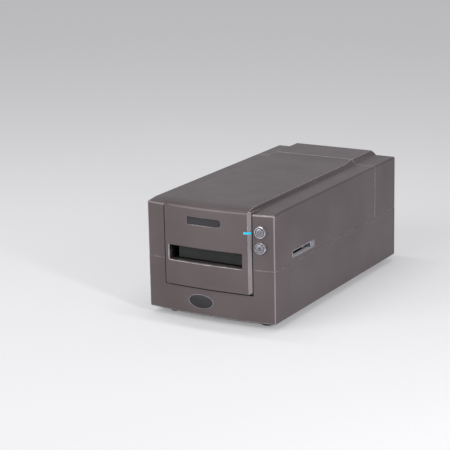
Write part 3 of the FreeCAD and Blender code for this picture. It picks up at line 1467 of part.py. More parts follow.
def board_chips():
    """The larger chips on the main board's outer face."""
    face = BOARD_FACE + " - board_thick"
    chips = []
    for index in range(int(number("chip_count"))):
        y = BOARD_START + " + board_long * %d / (chip_count + 1)" % (index + 1)
        chips.append(box("chip_%d" % index, (face + " - chip_thick", face),
                         (y + " - chip_side / 2", y + " + chip_side / 2"),
                         (BOARD_MIDDLE + " - chip_side / 2", BOARD_MIDDLE + " + chip_side / 2")))
    return gather("board_chips", *chips)


JACK_X = "-panel_wide / 4"
PORT_X = "panel_wide / 4"


def rear_panel():
    """The metal plate behind the window, with holes for the power jack and the data port."""
    inner = "rear_y - wall - panel_thick"
    plate = box("panel_plate", ("-panel_wide / 2 - wall", "panel_wide / 2 + wall"),
                (inner, "rear_y - wall"), ("panel_z - wall", "panel_z + panel_tall + wall"))
    jack = rod("jack_hole", "y", (JACK_X, "rear_y - wall - overrun", "sockets_z + jack_radius"),
               "2 * overrun", "jack_radius + fit_gap")
    port = box("port_hole", (PORT_X + " - port_wide / 2 - fit_gap",
                             PORT_X + " + port_wide / 2 + fit_gap"),
               ("rear_y - wall - overrun", "rear_y"),
               ("sockets_z - fit_gap", "sockets_z + port_tall + fit_gap"))
    return cut("rear_panel", plate, jack, port)


def power_jack():
    """The low-voltage inlet: a barrel with a centre pin."""
    start = "rear_y - wall - jack_long + panel_thick"
    centre = "sockets_z + jack_radius"
    barrel = rod("jack_barrel", "y", (JACK_X, start, centre), "jack_long", "jack_radius")
    bore = rod("jack_bore_cut", "y", (JACK_X, start + " + jack_radius / 2", centre),
               "jack_long", "jack_bore")
    pin = rod("jack_pin_rod", "y", (JACK_X, start + " + jack_radius / 4", centre),
              "jack_long - jack_radius / 2", "jack_pin")
    return gather("power_jack", cut("jack_shell", barrel, bore), pin)


def data_port():
    """The square data port, a metal shell round a tongue."""
    start = "rear_y - wall - port_long + panel_thick"
    x = (PORT_X + " - port_wide / 2", PORT_X + " + port_wide / 2")
    z = ("sockets_z", "sockets_z + port_tall")
    shell = box("port_shell", x, (start, start + " + port_long"), z)
    inside = box("port_inside", (x[0] + " + port_wall", x[1] + " - port_wall"),
                 (start + " + 2 * port_wall", start + " + port_long + overrun"),
                 (z[0] + " + port_wall", z[1] + " - port_wall"))
    tongue = box("port_tongue", (PORT_X + " - port_wide / 4", PORT_X + " + port_wide / 4"),
                 (start + " + port_wall", start + " + port_long * tongue_share"),
                 (z[0] + " + port_tall / 3", z[1] + " - port_tall / 3"))
    return gather("data_port", cut("port_case", shell, inside), tongue)


def socket_board():
    """The small board on two posts that carries the jack and the port."""
    return box("socket_board", ("-panel_wide / 2", "panel_wide / 2"),
               ("chassis_end + fit_gap", "rear_y - wall - panel_thick - fit_gap"),
               ("sockets_z - board_thick", "sockets_z"))


def build():
    """Make every piece and return them in the order of the parts list."""
    pieces = [
        lower_housing(), upper_housing(), rear_cover(), band_cover(), nameplate(),
        light_pipe(),
        button_ring("upper_button_ring", "button_z"),
        button_ring("lower_button_ring", "button_z - button_pitch"),
        button("upper_button", "button_z"),
        button("lower_button", "button_z - button_pitch"),
        switch_board(), tact_switches(), status_lamp(), slot_throat(), dust_flap(), flap_pin(),
        lock_tray(), lock_knob(), lock_bar(), base_pan(), rubber_feet(), case_screws(),
        chassis(), film_stage(), guide_rails(), drive_shaft(),
        at_rollers("drive_rollers", "roller_z", "roller_radius", "shaft_radius"),
        shaft_bushes(), pinch_shaft(),
        at_rollers("pinch_rollers", "pinch_z", "pinch_radius", "pinch_shaft"),
        pinch_brackets(), idler_pin(), feed_motor(), motor_shaft(), lamp_housing(),
        lamp_tube(), diffuser(), fold_mirror(), mirror_bracket(), lens_barrel(),
        lens_glass(), lens_carriage(), lens_strap(), focus_nut(), focus_rods(),
        focus_screw(), focus_motor(), line_sensor(), sensor_board(), sensor_bracket(),
        main_board(), board_standoffs(), board_chips(), rear_panel(), power_jack(),
        data_port(), socket_board(),
    ]
    return pieces + feed_gears()


def write_parts(pieces):
    """Check every object, then write one file for each piece."""
    doc.recompute()
    for thing in doc.Objects:
        if "Invalid" in thing.State or "Error" in thing.State:
            raise ValueError(thing.Name + " failed to build")
    for piece in pieces:
        if piece.Shape.isNull() or not piece.Shape.isValid():
            raise ValueError(piece.Label + " has no sound shape")
    os.makedirs("parts", exist_ok=True)
    for piece in pieces:
        piece.Shape.exportStep(os.path.join("parts", piece.Label + ".step"))
        print(piece.Label, len(piece.Shape.Solids), round(piece.Shape.Volume))


fill_sheets()
write_parts(build())
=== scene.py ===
# %% [markdown]
# # Dressing a film scanner
# The scanner arrives as a frame: one rigid mesh for each of its parts, in metres, already in
# place. This lesson gives each part the finish of its real material, rounds the painted
# shells, and adds the small things that a maker fits last: turned button rings, screw heads,
# feet, grips and signs. The frame itself is never moved.
# %% Load the frame
import bmesh
import bpy
import json
import math
from mathutils import Matrix, Vector
from mathutils.bvhtree import BVHTree

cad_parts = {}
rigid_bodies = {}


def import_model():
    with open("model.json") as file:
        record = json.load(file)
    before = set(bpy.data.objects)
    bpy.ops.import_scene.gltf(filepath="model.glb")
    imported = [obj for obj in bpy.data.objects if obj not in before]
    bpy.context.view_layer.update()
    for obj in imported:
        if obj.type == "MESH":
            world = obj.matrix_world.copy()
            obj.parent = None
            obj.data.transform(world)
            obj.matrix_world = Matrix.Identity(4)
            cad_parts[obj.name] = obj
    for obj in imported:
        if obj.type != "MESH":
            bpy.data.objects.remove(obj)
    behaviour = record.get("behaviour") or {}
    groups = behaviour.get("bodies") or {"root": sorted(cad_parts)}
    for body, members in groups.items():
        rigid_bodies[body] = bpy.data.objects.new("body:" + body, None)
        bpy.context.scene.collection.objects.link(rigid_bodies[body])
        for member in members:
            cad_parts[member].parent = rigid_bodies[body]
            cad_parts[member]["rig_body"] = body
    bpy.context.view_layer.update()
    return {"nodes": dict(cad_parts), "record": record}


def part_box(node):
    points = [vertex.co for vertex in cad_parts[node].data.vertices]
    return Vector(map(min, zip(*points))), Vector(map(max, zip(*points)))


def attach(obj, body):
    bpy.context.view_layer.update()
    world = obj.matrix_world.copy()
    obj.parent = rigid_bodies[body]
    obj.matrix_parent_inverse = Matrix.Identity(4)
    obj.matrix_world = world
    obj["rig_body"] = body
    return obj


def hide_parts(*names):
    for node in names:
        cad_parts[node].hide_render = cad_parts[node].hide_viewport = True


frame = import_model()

NODES = frame["nodes"]
MM = 0.001


# %% [markdown]
# ## Two helpers for finishes
# A maker picks a colour from a swatch, as a hex value that a screen shows. A shader works in
# linear light, so one function turns the one into the other. A second function adds a node,
# with its settings and links, so that each finish below reads as a short list.
# %% Colours and nodes
def linear(swatch):
    """Turn a hex swatch into the linear colour that a shader wants."""
    shown = [int(swatch[i:i + 2], 16) / 255 for i in (1, 3, 5)]
    return tuple(v / 12.92 if v <= 0.04045 else ((v + 0.055) / 1.055) ** 2.4
                 for v in shown) + (1.0,)


def add(tree, kind, settings={}, links={}):
    """Add a node; settings name its inputs or its properties, links feed its inputs."""
    family = "ShaderNode" if tree.bl_idname == "ShaderNodeTree" else "GeometryNode"
    node = tree.nodes.new(kind if "Node" in kind else family + kind)
    for name, value in settings.items():
        if name == "stops":
            ends = node.color_ramp.elements
            ends[0].position, ends[0].color = value[0]
            ends[1].position, ends[1].color = value[-1]
            for place, colour in value[1:-1]:
                ends.new(place).color = colour
        elif isinstance(name, int) or name in node.inputs:
            node.inputs[name].default_value = value
        else:
            setattr(node, name, value)
    for name, socket in links.items():
        tree.links.new(socket, node.inputs[name])
    return node


def repeats(size_mm):
    """How many times a pattern of this size fits in a metre, which is a texture's scale."""
    return 1 / (size_mm * MM)


def finish(name, swatch, metallic, roughness, **extras):
    """Start a material: its one shader, with the values that are the same all over."""
    material = bpy.data.materials.new(name)
    material.use_nodes = True
    shader = material.node_tree.nodes["Principled BSDF"]
    shader.inputs["Base Color"].default_value = linear(swatch)
    shader.inputs["Metallic"].default_value = metallic
    shader.inputs["Roughness"].default_value = roughness
    for name, value in extras.items():
        shader.inputs[name.replace("_", " ")].default_value = value
    return material, material.node_tree, shader


print("taupe in linear light:", [round(v, 3) for v in linear("#7b7173")])

# %% [markdown]
# ## Satin metallic lacquer
# The shells are moulded ABS, sprayed with a warm grey lacquer that holds fine aluminium
# flake. What the eye gets is a soft sheen with a faint sparkle, a slight orange peel, and a
# tone that drifts over a hand's width where the spray lay thicker. It could be one flat
# colour with a low roughness, but then large faces look like paper, so the drift, the flake
# and the peel are three patterns at three real sizes.
# %% The lacquer, its worn edges and its painted highlights
def lacquer(name, thin, thick, spark, metallic, roughness, edge_share=0.0):
    """Sprayed lacquer: two tones that drift, flake that sparkles, and orange peel."""
    material, tree, shader = finish(name, thick, metallic, roughness,
                                    Coat_Weight=0.06, Coat_Roughness=0.2,
                                    Specular_IOR_Level=0.35)
    spot = add(tree, "TexCoord").outputs["Object"]
    drift = add(tree, "TexNoise", {"Scale": repeats(85), "Detail": 3.0}, {"Vector": spot})
    tone = add(tree, "ValToRGB", {"stops": [(0.35, linear(thick)), (0.65, linear(thin))]},
               {"Fac": drift.outputs["Fac"]})
    # Real flake is 0.03 mm; it is drawn at 0.2 mm so that a close look shows it at all.
    flake = add(tree, "TexVoronoi", {"Scale": repeats(0.2)}, {"Vector": spot})
    glint = add(tree, "ValToRGB", {"stops": [(0.0, (0, 0, 0, 1)), (0.8, (0, 0, 0, 1)),
                                             (1.0, (0.3, 0.3, 0.3, 1))]},
                {"Fac": flake.outputs["Color"]})
    paint = add(tree, "Mix", {"data_type": "RGBA", 7: linear(spark)},
                {0: glint.outputs["Color"], 6: tone.outputs["Color"]})
    colour = paint.outputs[2]
    if edge_share:
        rub = add(tree, "TexNoise", {"Scale": repeats(6), "Detail": 4.0}, {"Vector": spot})
        worn = add(tree, "ValToRGB", {"stops": [(0.4, (0, 0, 0, 1)),
                                                (0.6, (edge_share,) * 3 + (1,))]},
                   {"Fac": rub.outputs["Fac"]})
        colour = add(tree, "Mix", {"data_type": "RGBA", 7: linear(spark)},
                     {0: worn.outputs["Color"], 6: colour}).outputs[2]
    tree.links.new(colour, shader.inputs["Base Color"])
    wipe = add(tree, "TexNoise", {"Scale": repeats(30), "Detail": 5.0}, {"Vector": spot})
    sheen = add(tree, "MapRange", {"From Min": 0.3, "From Max": 0.7,
                                   "To Min": roughness - 0.025, "To Max": roughness + 0.03},
                {"Value": wipe.outputs["Fac"]})
    tree.links.new(sheen.outputs["Result"], shader.inputs["Roughness"])
    peel = add(tree, "TexNoise", {"Scale": repeats(1.1), "Detail": 2.0}, {"Vector": spot})
    skin = add(tree, "Bump", {"Strength": 0.5, "Distance": 0.012 * MM},
               {"Height": peel.outputs["Fac"]})
    tree.links.new(skin.outputs["Normal"], shader.inputs["Normal"])
    return material


TAUPE = lacquer("satin_taupe_lacquer", "#695f60", "#5f5556", "#b4abab", 0.4, 0.34)
# Paler lacquer for rounded edges: partly wear where hands rub, partly a painted highlight.
TAUPE_EDGE_WORN_AND_HIGHLIT = lacquer("taupe_lacquer_rubbed_edge", "#999193", "#877e80", "#ded8d9", 0.5, 0.3,
                     0.55)
SILVER = lacquer("silver_lacquer_on_abs", "#99979f", "#8a8890", "#e4e4ea", 0.75, 0.27)
# The same paler edge lacquer in silver: partly wear, partly a painted highlight.
SILVER_EDGE_WORN_AND_HIGHLIT = lacquer("silver_lacquer_rubbed_edge", "#aeacb3", "#9e9ca3", "#f0f0f4", 0.8, 0.22,
                      0.5)
# A paler lacquer that is a painted highlight along the rims, the roll and the band's cheeks.
TAUPE_PAINTED_HIGHLIGHT = lacquer("burnished_taupe_lacquer", "#9f979a", "#938b8e", "#d3cdce", 0.5, 0.3)
# A pale, dull lacquer for the tray's inner walls: painted light, for the light the silver
# walls catch.
PALE_TRAY_LACQUER_PAINTED_LIGHT = lacquer("thin_silver_lacquer_in_the_tray", "#dcdce2", "#d0d0d6", "#ececf2", 0.05, 0.6)
print("lacquers:", TAUPE.name, SILVER.name)

# %% [markdown]
# ## Moulded plastics and rubber
# The flap, the throat and the pan are bare ABS in dark grey and black. Their moulds are spark
# eroded, which leaves a fine even grain of about 0.3 mm. Gears are natural acetal, waxy and
# slightly creamy. Feet and rollers are nitrile rubber, which is duller and picks up dust.
# One function serves them all, because they differ only in colour, gloss and grain.
# %% Plastics and rubber
def moulded(name, swatch, dusty, roughness, grain_mm, depth_mm, **extras):
    """A moulded surface: fine grain, cloudy gloss, and a little dust in patches."""
    material, tree, shader = finish(name, swatch, 0.0, roughness, **extras)
    spot = add(tree, "TexCoord").outputs["Object"]
    cloud = add(tree, "TexNoise", {"Scale": repeats(28), "Detail": 6.0}, {"Vector": spot})
    tone = add(tree, "ValToRGB", {"stops": [(0.42, linear(swatch)), (0.75, linear(dusty))]},
               {"Fac": cloud.outputs["Fac"]})
    tree.links.new(tone.outputs["Color"], shader.inputs["Base Color"])
    gloss = add(tree, "MapRange", {"From Min": 0.3, "From Max": 0.7,
                                   "To Min": roughness - 0.05, "To Max": roughness + 0.07},
                {"Value": cloud.outputs["Fac"]})
    tree.links.new(gloss.outputs["Result"], shader.inputs["Roughness"])
    grain = add(tree, "TexNoise", {"Scale": repeats(grain_mm), "Detail": 2.0},
                {"Vector": spot})
    bump = add(tree, "Bump", {"Strength": 0.6, "Distance": depth_mm * MM},
               {"Height": grain.outputs["Fac"]})
    tree.links.new(bump.outputs["Normal"], shader.inputs["Normal"])
    return material


GREY_ABS = moulded("dark_grey_grained_abs", "#1f2120", "#2a2c2b", 0.42, 0.5, 0.03,
                   Specular_IOR_Level=0.3)
BLACK_ABS = moulded("black_grained_abs", "#161617", "#242424", 0.46, 0.6, 0.04, IOR=1.54)
ACETAL = moulded("natural_acetal", "#e2ded2", "#d3cdbf", 0.36, 0.8, 0.01, IOR=1.48)
RUBBER = moulded("black_nitrile_rubber", "#1c1c1c", "#343331", 0.72, 0.7, 0.05, IOR=1.52)
OPAL = moulded("opal_acrylic", "#f1f1ec", "#e6e6e0", 0.3, 0.8, 0.01, IOR=1.49,
               Transmission_Weight=0.35)
PLATE = moulded("bare_graphite_name_film", "#262428", "#2e2c30", 0.42, 0.5, 0.008,
               Specular_IOR_Level=0.4)
PRINT = moulded("dark_screen_print", "#35353b", "#3f3f46", 0.5, 0.4, 0.004, IOR=1.5)
print("plastics:", GREY_ABS.name, BLACK_ABS.name, ACETAL.name, RUBBER.name)

# %% [markdown]
# ## Metals
# Screws, shafts and brackets are zinc-plated steel, which is bright with a cloudy spangle and
# faint rolling lines. The chassis and the optics carriers are die-cast aluminium with a dull
# skin. The bushes are sintered bronze, full of fine pores. A metal's colour is in its
# reflection, so metallic is 1 and the IOR is left as it is.
# %% Metals
def metal(name, bright, dull, roughness, grain_mm, stretch, depth_mm):
    """A bare metal: cloudy tone, and a grain that may be stretched into lines."""
    material, tree, shader = finish(name, bright, 1.0, roughness)
    spot = add(tree, "TexCoord").outputs["Object"]
    cloud = add(tree, "TexNoise", {"Scale": repeats(14), "Detail": 5.0}, {"Vector": spot})
    tone = add(tree, "ValToRGB", {"stops": [(0.35, linear(dull)), (0.7, linear(bright))]},
               {"Fac": cloud.outputs["Fac"]})
    tree.links.new(tone.outputs["Color"], shader.inputs["Base Color"])
    lines = add(tree, "Mapping", {"Scale": (1 / stretch, 1, 1)}, {"Vector": spot})
    grain = add(tree, "TexNoise", {"Scale": repeats(grain_mm), "Detail": 3.0},
                {"Vector": lines.outputs["Vector"]})
    gloss = add(tree, "MapRange", {"From Min": 0.3, "From Max": 0.7,
                                   "To Min": roughness - 0.07, "To Max": roughness + 0.08},
                {"Value": grain.outputs["Fac"]})
    tree.links.new(gloss.outputs["Result"], shader.inputs["Roughness"])
    bump = add(tree, "Bump", {"Strength": 0.5, "Distance": depth_mm * MM},
               {"Height": grain.outputs["Fac"]})
    tree.links.new(bump.outputs["Normal"], shader.inputs["Normal"])
    return material


STEEL = metal("zinc_plated_steel", "#c3c6c8", "#a6aaad", 0.3, 0.5, 14, 0.006)
ALLOY = metal("die_cast_aluminium", "#b4b6b9", "#9b9da1", 0.46, 0.7, 1, 0.03)
BRONZE = metal("sintered_bronze", "#b8935a", "#8f6f3f", 0.5, 0.35, 1, 0.02)
BLACK_ALLOY = metal("black_anodised_aluminium", "#2c2c2f", "#222224", 0.36, 0.4, 20, 0.006)
NICKEL = metal("nickel_plated_brass", "#d2cdc2", "#b9b4a8", 0.2, 0.4, 6, 0.004)
print("metals:", STEEL.name, ALLOY.name, BRONZE.name, NICKEL.name)

# %% [markdown]
# ## Glass, light guide and circuit board
# Lenses and the lamp tube are clear glass, with a mirror of silvered glass under the lamp.
# The status light is a strip of cyan acrylic with a lamp behind it, so its whole end glows.
# The circuit boards are glass-fibre epoxy under a green mask, with tracks that show through
# as slightly lighter lines about a millimetre apart.
# %% Glass, light and boards
def clear(name, swatch, roughness, ior):
    """Glass with faint streaks of wiping in its gloss."""
    material, tree, shader = finish(name, swatch, 0.0, roughness, IOR=ior,
                                    Transmission_Weight=1.0)
    spot = add(tree, "TexCoord").outputs["Object"]
    wipe = add(tree, "TexNoise", {"Scale": repeats(9), "Detail": 4.0}, {"Vector": spot})
    haze = add(tree, "MapRange", {"From Min": 0.4, "From Max": 0.8, "To Min": roughness,
                                  "To Max": roughness + 0.05}, {"Value": wipe.outputs["Fac"]})
    tree.links.new(haze.outputs["Result"], shader.inputs["Roughness"])
    return material


GLASS = clear("clear_optical_glass", "#f2f7f8", 0.01, 1.52)
MIRROR = metal("front_silvered_glass", "#eef1f3", "#e3e7ea", 0.08, 3.0, 1, 0.0005)
GUIDE, tree, shader = finish("cyan_acrylic_light_guide", "#12a8cc", 0.0, 0.18, IOR=1.49,
                             Emission_Strength=0.62)
spot = add(tree, "TexCoord").outputs["Object"]
fade = add(tree, "TexNoise", {"Scale": repeats(3), "Detail": 2.0}, {"Vector": spot})
glow = add(tree, "ValToRGB", {"stops": [(0.3, linear("#0aa6c8")), (0.7, linear("#18c2de"))]},
           {"Fac": fade.outputs["Fac"]})
tree.links.new(glow.outputs["Color"], shader.inputs["Emission Color"])
tree.links.new(glow.outputs["Color"], shader.inputs["Base Color"])

BOARD, tree, shader = finish("green_masked_glass_epoxy", "#1d5a36", 0.0, 0.32, IOR=1.55,
                             Coat_Weight=0.4)
spot = add(tree, "TexCoord").outputs["Object"]
turn = add(tree, "Mapping", {"Rotation": (0.0, math.radians(90), 0.0)}, {"Vector": spot})
tracks = add(tree, "TexBrick", {"Scale": repeats(5), "Mortar Size": 0.03,
                                "Color1": linear("#1b5634"), "Color2": linear("#1f6039"),
                                "Mortar": linear("#3d8a55")},
             {"Vector": turn.outputs["Vector"]})
tree.links.new(tracks.outputs["Color"], shader.inputs["Base Color"])
raised = add(tree, "Bump", {"Strength": 0.4, "Distance": 0.03 * MM},
             {"Height": tracks.outputs["Fac"]})
tree.links.new(raised.outputs["Normal"], shader.inputs["Normal"])
print("clear and green:", GLASS.name, GUIDE.name, BOARD.name)

# %% [markdown]
# ## Hand out the finishes
# The record names a material slot for each part. Each slot has its finish, and a few parts
# are told apart by name because the eye would miss it, such as the black anodised lens barrel
# among black mouldings.
# %% Give every part its finish
BY_SLOT = {
    "housing_paint": TAUPE, "silver_trim": SILVER, "dark_plastic": GREY_ABS,
    "black_plastic": BLACK_ABS, "gear_plastic": ACETAL, "rubber": RUBBER, "steel": STEEL,
    "cast_alloy": ALLOY, "bronze": BRONZE, "circuit_board": BOARD, "clear_glass": GLASS,
    "silvered_glass": MIRROR, "light_guide": GUIDE, "nameplate_film": PLATE,
}
BY_NAME = {"lens_barrel": BLACK_ALLOY, "diffuser": OPAL, "data_port": NICKEL,
           "slot_throat": BLACK_ABS}
SLOT_OF = {part["node"]: part["material_slot"] for part in frame["record"]["subparts"]}
BODY_OF = {name: node["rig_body"] for name, node in NODES.items()}
for name, node in NODES.items():
    node.data.materials.clear()
    node.data.materials.append(BY_NAME.get(name, BY_SLOT[SLOT_OF[name]]))
print("finished parts:", len(NODES))

# %% [markdown]
# ## Rounded mouldings
# No moulded edge is sharp: the tool leaves a radius of a few tenths of a millimetre, and that
# radius is what catches the light along every edge of the real scanner. The edges could be
# faked in the shader, but a real bevel keeps its highlight from any side and in any program.
# Each visible moulding is copied, its triangles are welded and joined into whole faces, and
# its hard edges are rounded. Faces made by the bevel take a paler edge finish: partly wear,
# because hands polish edges first, and partly a painted highlight.
# %% Round the mouldings
WELD = 0.0005 * MM  # Points of a made mesh nearer than this are one point.
SHORTEST = 0.1 * MM  # Edges shorter than this stay as they are.
MOST_SHARE = 0.42  # The most of a face or of an edge that one bevel may take.
LEAST_SHARE = 0.15  # A bevel cut down to less than this share of its radius is left out.
EDGE, EXTRA = 1, 2  # Material places: the rounded edges, and the first of the extra ones.


def welded(node):
    """A work mesh of a part: its loose triangles welded and joined into whole faces."""
    work = bmesh.new()
    work.from_mesh(NODES[node].data)
    bmesh.ops.remove_doubles(work, verts=work.verts, dist=0.002 * MM)
    bmesh.ops.dissolve_limit(work, angle_limit=math.radians(0.3), verts=work.verts,
                             edges=work.edges)
    return work


def room(edge):
    """How wide a bevel an edge has room for, next to narrow faces and short edges."""
    along = (edge.verts[1].co - edge.verts[0].co).normalized()
    widest = math.inf
    for face in edge.link_faces:
        across = max((vert.co - edge.verts[0].co).cross(along).length for vert in face.verts)
        widest = min(widest, MOST_SHARE * across)
    for vert in edge.verts:
        for other in vert.link_edges:
            way = (other.other_vert(vert).co - vert.co).normalized()
            # An edge that runs nearly straight on takes no room away.
            if other != edge and abs(way.dot(along)) < 0.9:
                widest = min(widest, MOST_SHARE * other.calc_length())
    return widest


def rounded(node, radius_mm, finish_used, edge_finish, special=(), work=None, steps=3,
            least_turn=30, smooth_normal=None, calm=()):
    """Replace a moulding by a copy of itself with its hard edges rounded.

    Each special pair is a test for faces and the finish that they get. Each calm pair is a
    test for places on the rounded edges, and the finish that they get there instead.
    """
    work = work or welded(node)
    weight = work.edges.layers.float.new("bevel_weight_edge")
    marked = 0
    for edge in work.edges:
        if len(edge.link_faces) == 2 and edge.calc_length() > SHORTEST:
            turn = math.degrees(edge.calc_face_angle(0.0))
            # An inside corner keeps its line: no hand rubs it.
            if turn > least_turn and edge.is_convex:
                share = min(1.0, room(edge) / (radius_mm * MM))
                edge[weight] = share if share > LEAST_SHARE else 0.0
                marked += 1
    for face in work.faces:
        face.smooth = True
        for place, (test, _) in enumerate(special, EXTRA):
            if test(face):
                face.material_index = place
    mesh = bpy.data.meshes.new(node + "_moulding")
    work.to_mesh(mesh)
    work.free()
    pairs = list(special) + list(calm)
    for material in [finish_used, edge_finish] + [pair[1] for pair in pairs]:
        mesh.materials.append(material)
    moulding = bpy.data.objects.new(node + "_moulding", mesh)
    bpy.context.scene.collection.objects.link(moulding)
    bevel = moulding.modifiers.new("moulded edge", "BEVEL")
    bevel.limit_method = "WEIGHT"
    bevel.width = radius_mm * MM
    bevel.segments = steps
    bevel.material = EDGE
    bevel.use_clamp_overlap = False
    bevel.harden_normals = True
    even = moulding.modifiers.new("flat faces stay flat", "WEIGHTED_NORMAL")
    even.mode = "FACE_AREA_WITH_ANGLE"
    even.weight = 90
    even.keep_sharp = True
    view = bpy.context.evaluated_depsgraph_get()
    real = bpy.data.meshes.new_from_object(moulding.evaluated_get(view), depsgraph=view,
                                           preserve_all_data_layers=True)
    moulding.modifiers.clear()
    moulding.data = real
    # Where bevels meet, a point can land outside; the frame's box is the limit.
    low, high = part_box(node)
    for vert in real.vertices:
        vert.co = [min(max(vert.co[axis], low[axis]), high[axis]) for axis in range(3)]
    for place, (test, _) in enumerate(calm, EXTRA + len(special)):
        for face in real.polygons:
            if face.material_index == EDGE and test(face.center):
                face.material_index = place
    if smooth_normal:
        ease_normals(real, smooth_normal)
    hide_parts(node)
    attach(moulding, BODY_OF[node])
    print(node, "rounded:", marked, "edges,", len(real.polygons), "faces")
    return moulding


def ease_normals(mesh, smooth_normal, nearest=0.975):
    """Let faces on a curved skin shade by the curve's own normal, not by their facets."""
    normals = [corner.vector.copy() for corner in mesh.corner_normals]
    eased = 0
    for face in mesh.polygons:
        for loop in face.loop_indices:
            wanted = smooth_normal(mesh.vertices[mesh.loops[loop].vertex_index].co)
            if wanted and wanted.dot(face.normal) > nearest:
                normals[loop] = wanted
                eased += 1
    mesh.normals_split_custom_set(normals)
    print("eased", eased, "corners of", len(normals))


# %% [markdown]
# ## The four shells
# The gap round the raised band is painted black as shade: black moulding put where the shadow
# line along the band falls. The faces of the gap are those that lie a little behind the bowed
# front, close to the band. They could be picked by hand, but a test by place finds them again
# when the shells change.
# %% The bowed front and the gap round the band
BOW_RADIUS = 610.7 * MM
FRONT_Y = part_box("lower_housing")[0][1]
BAND_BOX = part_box("band_cover")
GAP_DEEP = 2.0 * MM
GAP_BESIDE, GAP_BELOW = 1.2 * MM, 2.8 * MM


def front_at(x):
    """How far forward the bowed front of the shells lies at this place across it."""
    return FRONT_Y + BOW_RADIUS - math.sqrt(BOW_RADIUS ** 2 - x ** 2)


def in_gap_painted_shade(face):
    """True for the faces of the gap that frames the band, a little behind the front; they are
    painted black as shade.
    """
    spot = face.calc_center_median()
    return (0.15 * MM < spot.y - front_at(spot.x) < GAP_DEEP
            and BAND_BOX[0][0] - GAP_BESIDE < spot.x < BAND_BOX[1][0] + GAP_BESIDE
            and spot.z > BAND_BOX[0][2] - GAP_BELOW)


bow = front_at(BAND_BOX[1][0]) - FRONT_Y
print("at the band's side the front lies back by", round(bow / MM, 1), "mm")

# %% [markdown]
# ## Highlights that run true
# The front is a wide bow, rolled over into a top that slopes a little. The frame holds it as
# facets, and on a satin lacquer their edges would break the long highlight along the roll.
# A finer mesh would need the part again from its source. Here each corner of these faces gets
# the normal of the true curve instead: the bow's on the front, the slope's on the top, and
# between them one that turns with the height in the roll.
# %% The true normals of the front
def curve_normal(proud, brow_z, slope, roll, behind_end, half_wide):
    """A function that gives the normal of a bowed front, its roll and its sloped top."""
    front = FRONT_Y - proud
    axis_y = front + BOW_RADIUS + proud
    top = Vector((0, -slope, 1)).normalized()
    steepest = math.pi / 2 - math.atan(slope)

    def normal(spot):
        if abs(spot.x) > half_wide or spot.y > front + behind_end:
            return None
        reach = math.hypot(spot.x, axis_y - spot.y)
        outward = Vector((spot.x / reach, (spot.y - axis_y) / reach, 0))
        middle_y = axis_y + outward.y * (BOW_RADIUS + proud - roll)
        middle_z = brow_z + slope * (middle_y - front) - roll * math.sqrt(1 + slope ** 2)
        back = reach - (BOW_RADIUS + proud - roll)
        rise = spot.z - middle_z
        if rise <= 0:
            return outward if abs(back - roll) < 0.3 * MM else None
        turn = math.atan2(rise, back)
        if turn >= steepest:
            return top
        return outward * math.cos(turn) + Vector((0, 0, math.sin(turn)))
    return normal


TOP_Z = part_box("upper_housing")[1][2]
BAND_PROUD = 4.5 * MM
NO_BROW = 10.0  # Far above everything: the lower shell ends before the roll begins.
SKINS = {
    "lower_housing": curve_normal(proud=0, brow_z=NO_BROW, slope=0.1, roll=2.4 * MM,
                                  behind_end=8 * MM, half_wide=90 * MM),
    "upper_housing": curve_normal(proud=0, brow_z=TOP_Z - 2.6 * MM, slope=0.1, roll=2.4 * MM,
                                  behind_end=25.9 * MM, half_wide=89.5 * MM),
    "band_cover": curve_normal(proud=BAND_PROUD, brow_z=TOP_Z + BAND_PROUD - 3.4 * MM,
                               slope=3.4 / 18, roll=5.0 * MM, behind_end=17.9 * MM,
                               half_wide=80 * MM),
}
print("true normals for:", list(SKINS))

# %% [markdown]
# ## Painted highlights on the rims, painted shade in the gap
# The round corners, the roll and the band's slanting cheeks get a paler lacquer that is a
# painted highlight: it stands in for the long highlights which plain soft light doesn't draw.
# The rounded edges of the gap are painted black as shade, and those under the band and round
# the slot keep the plain lacquer, without the painted highlight. Painted masks could do the
# same, but tests by direction and place need no image.
# %% Dress the shells
def on_cheek_painted_highlight(face):
    """True for the slanting cheeks at the two sides of the band's front, which get a painted
    highlight.
    """
    return abs(face.normal.x) > 0.4 and face.normal.y < -0.5


def on_rim_painted_highlight(face):
    """True for the round corners and the roll of the front, which get a painted highlight."""
    return face.normal.y < -0.3 and 0.25 < max(abs(face.normal.x), face.normal.z) < 0.93


FLAP_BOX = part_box("dust_flap")
EDGE_REACH = 0.4 * MM  # How far past the gap its rounded edges lie.
BLACK_BELOW = 5 * MM  # The gap's edges are black up to this far below the top.
LIP_LEFT, LIP_RIGHT, LIP_ABOVE = 9 * MM, 4 * MM, 6 * MM  # The slot's lip, past the flap.
BAND_EDGE = 0.6 * MM  # How far in from the band's border its rounded edges reach.


def by_gap_painted_shade(spot):
    """True for the rounded edges along the gap, which are painted black as shade."""
    beside, below = GAP_BESIDE + EDGE_REACH, GAP_BELOW + EDGE_REACH
    return (spot.y < front_at(spot.x) + GAP_DEEP
            and BAND_BOX[0][0] - beside < spot.x < BAND_BOX[1][0] + beside
            and BAND_BOX[0][2] - below < spot.z < TOP_Z - BLACK_BELOW)


def by_slot(spot):
    """True for the upper and left lip of the slot, which lie turned away from the light."""
    return (FLAP_BOX[0][0] - LIP_LEFT < spot.x < FLAP_BOX[1][0] + LIP_RIGHT
            and FLAP_BOX[0][2] < spot.z < FLAP_BOX[1][2] + LIP_ABOVE)


def under_band(spot):
    """True for the band's own lower edge, over the gap, and for its left one beside it."""
    return spot.z < BAND_BOX[0][2] + BAND_EDGE or spot.x < BAND_BOX[0][0] + BAND_EDGE


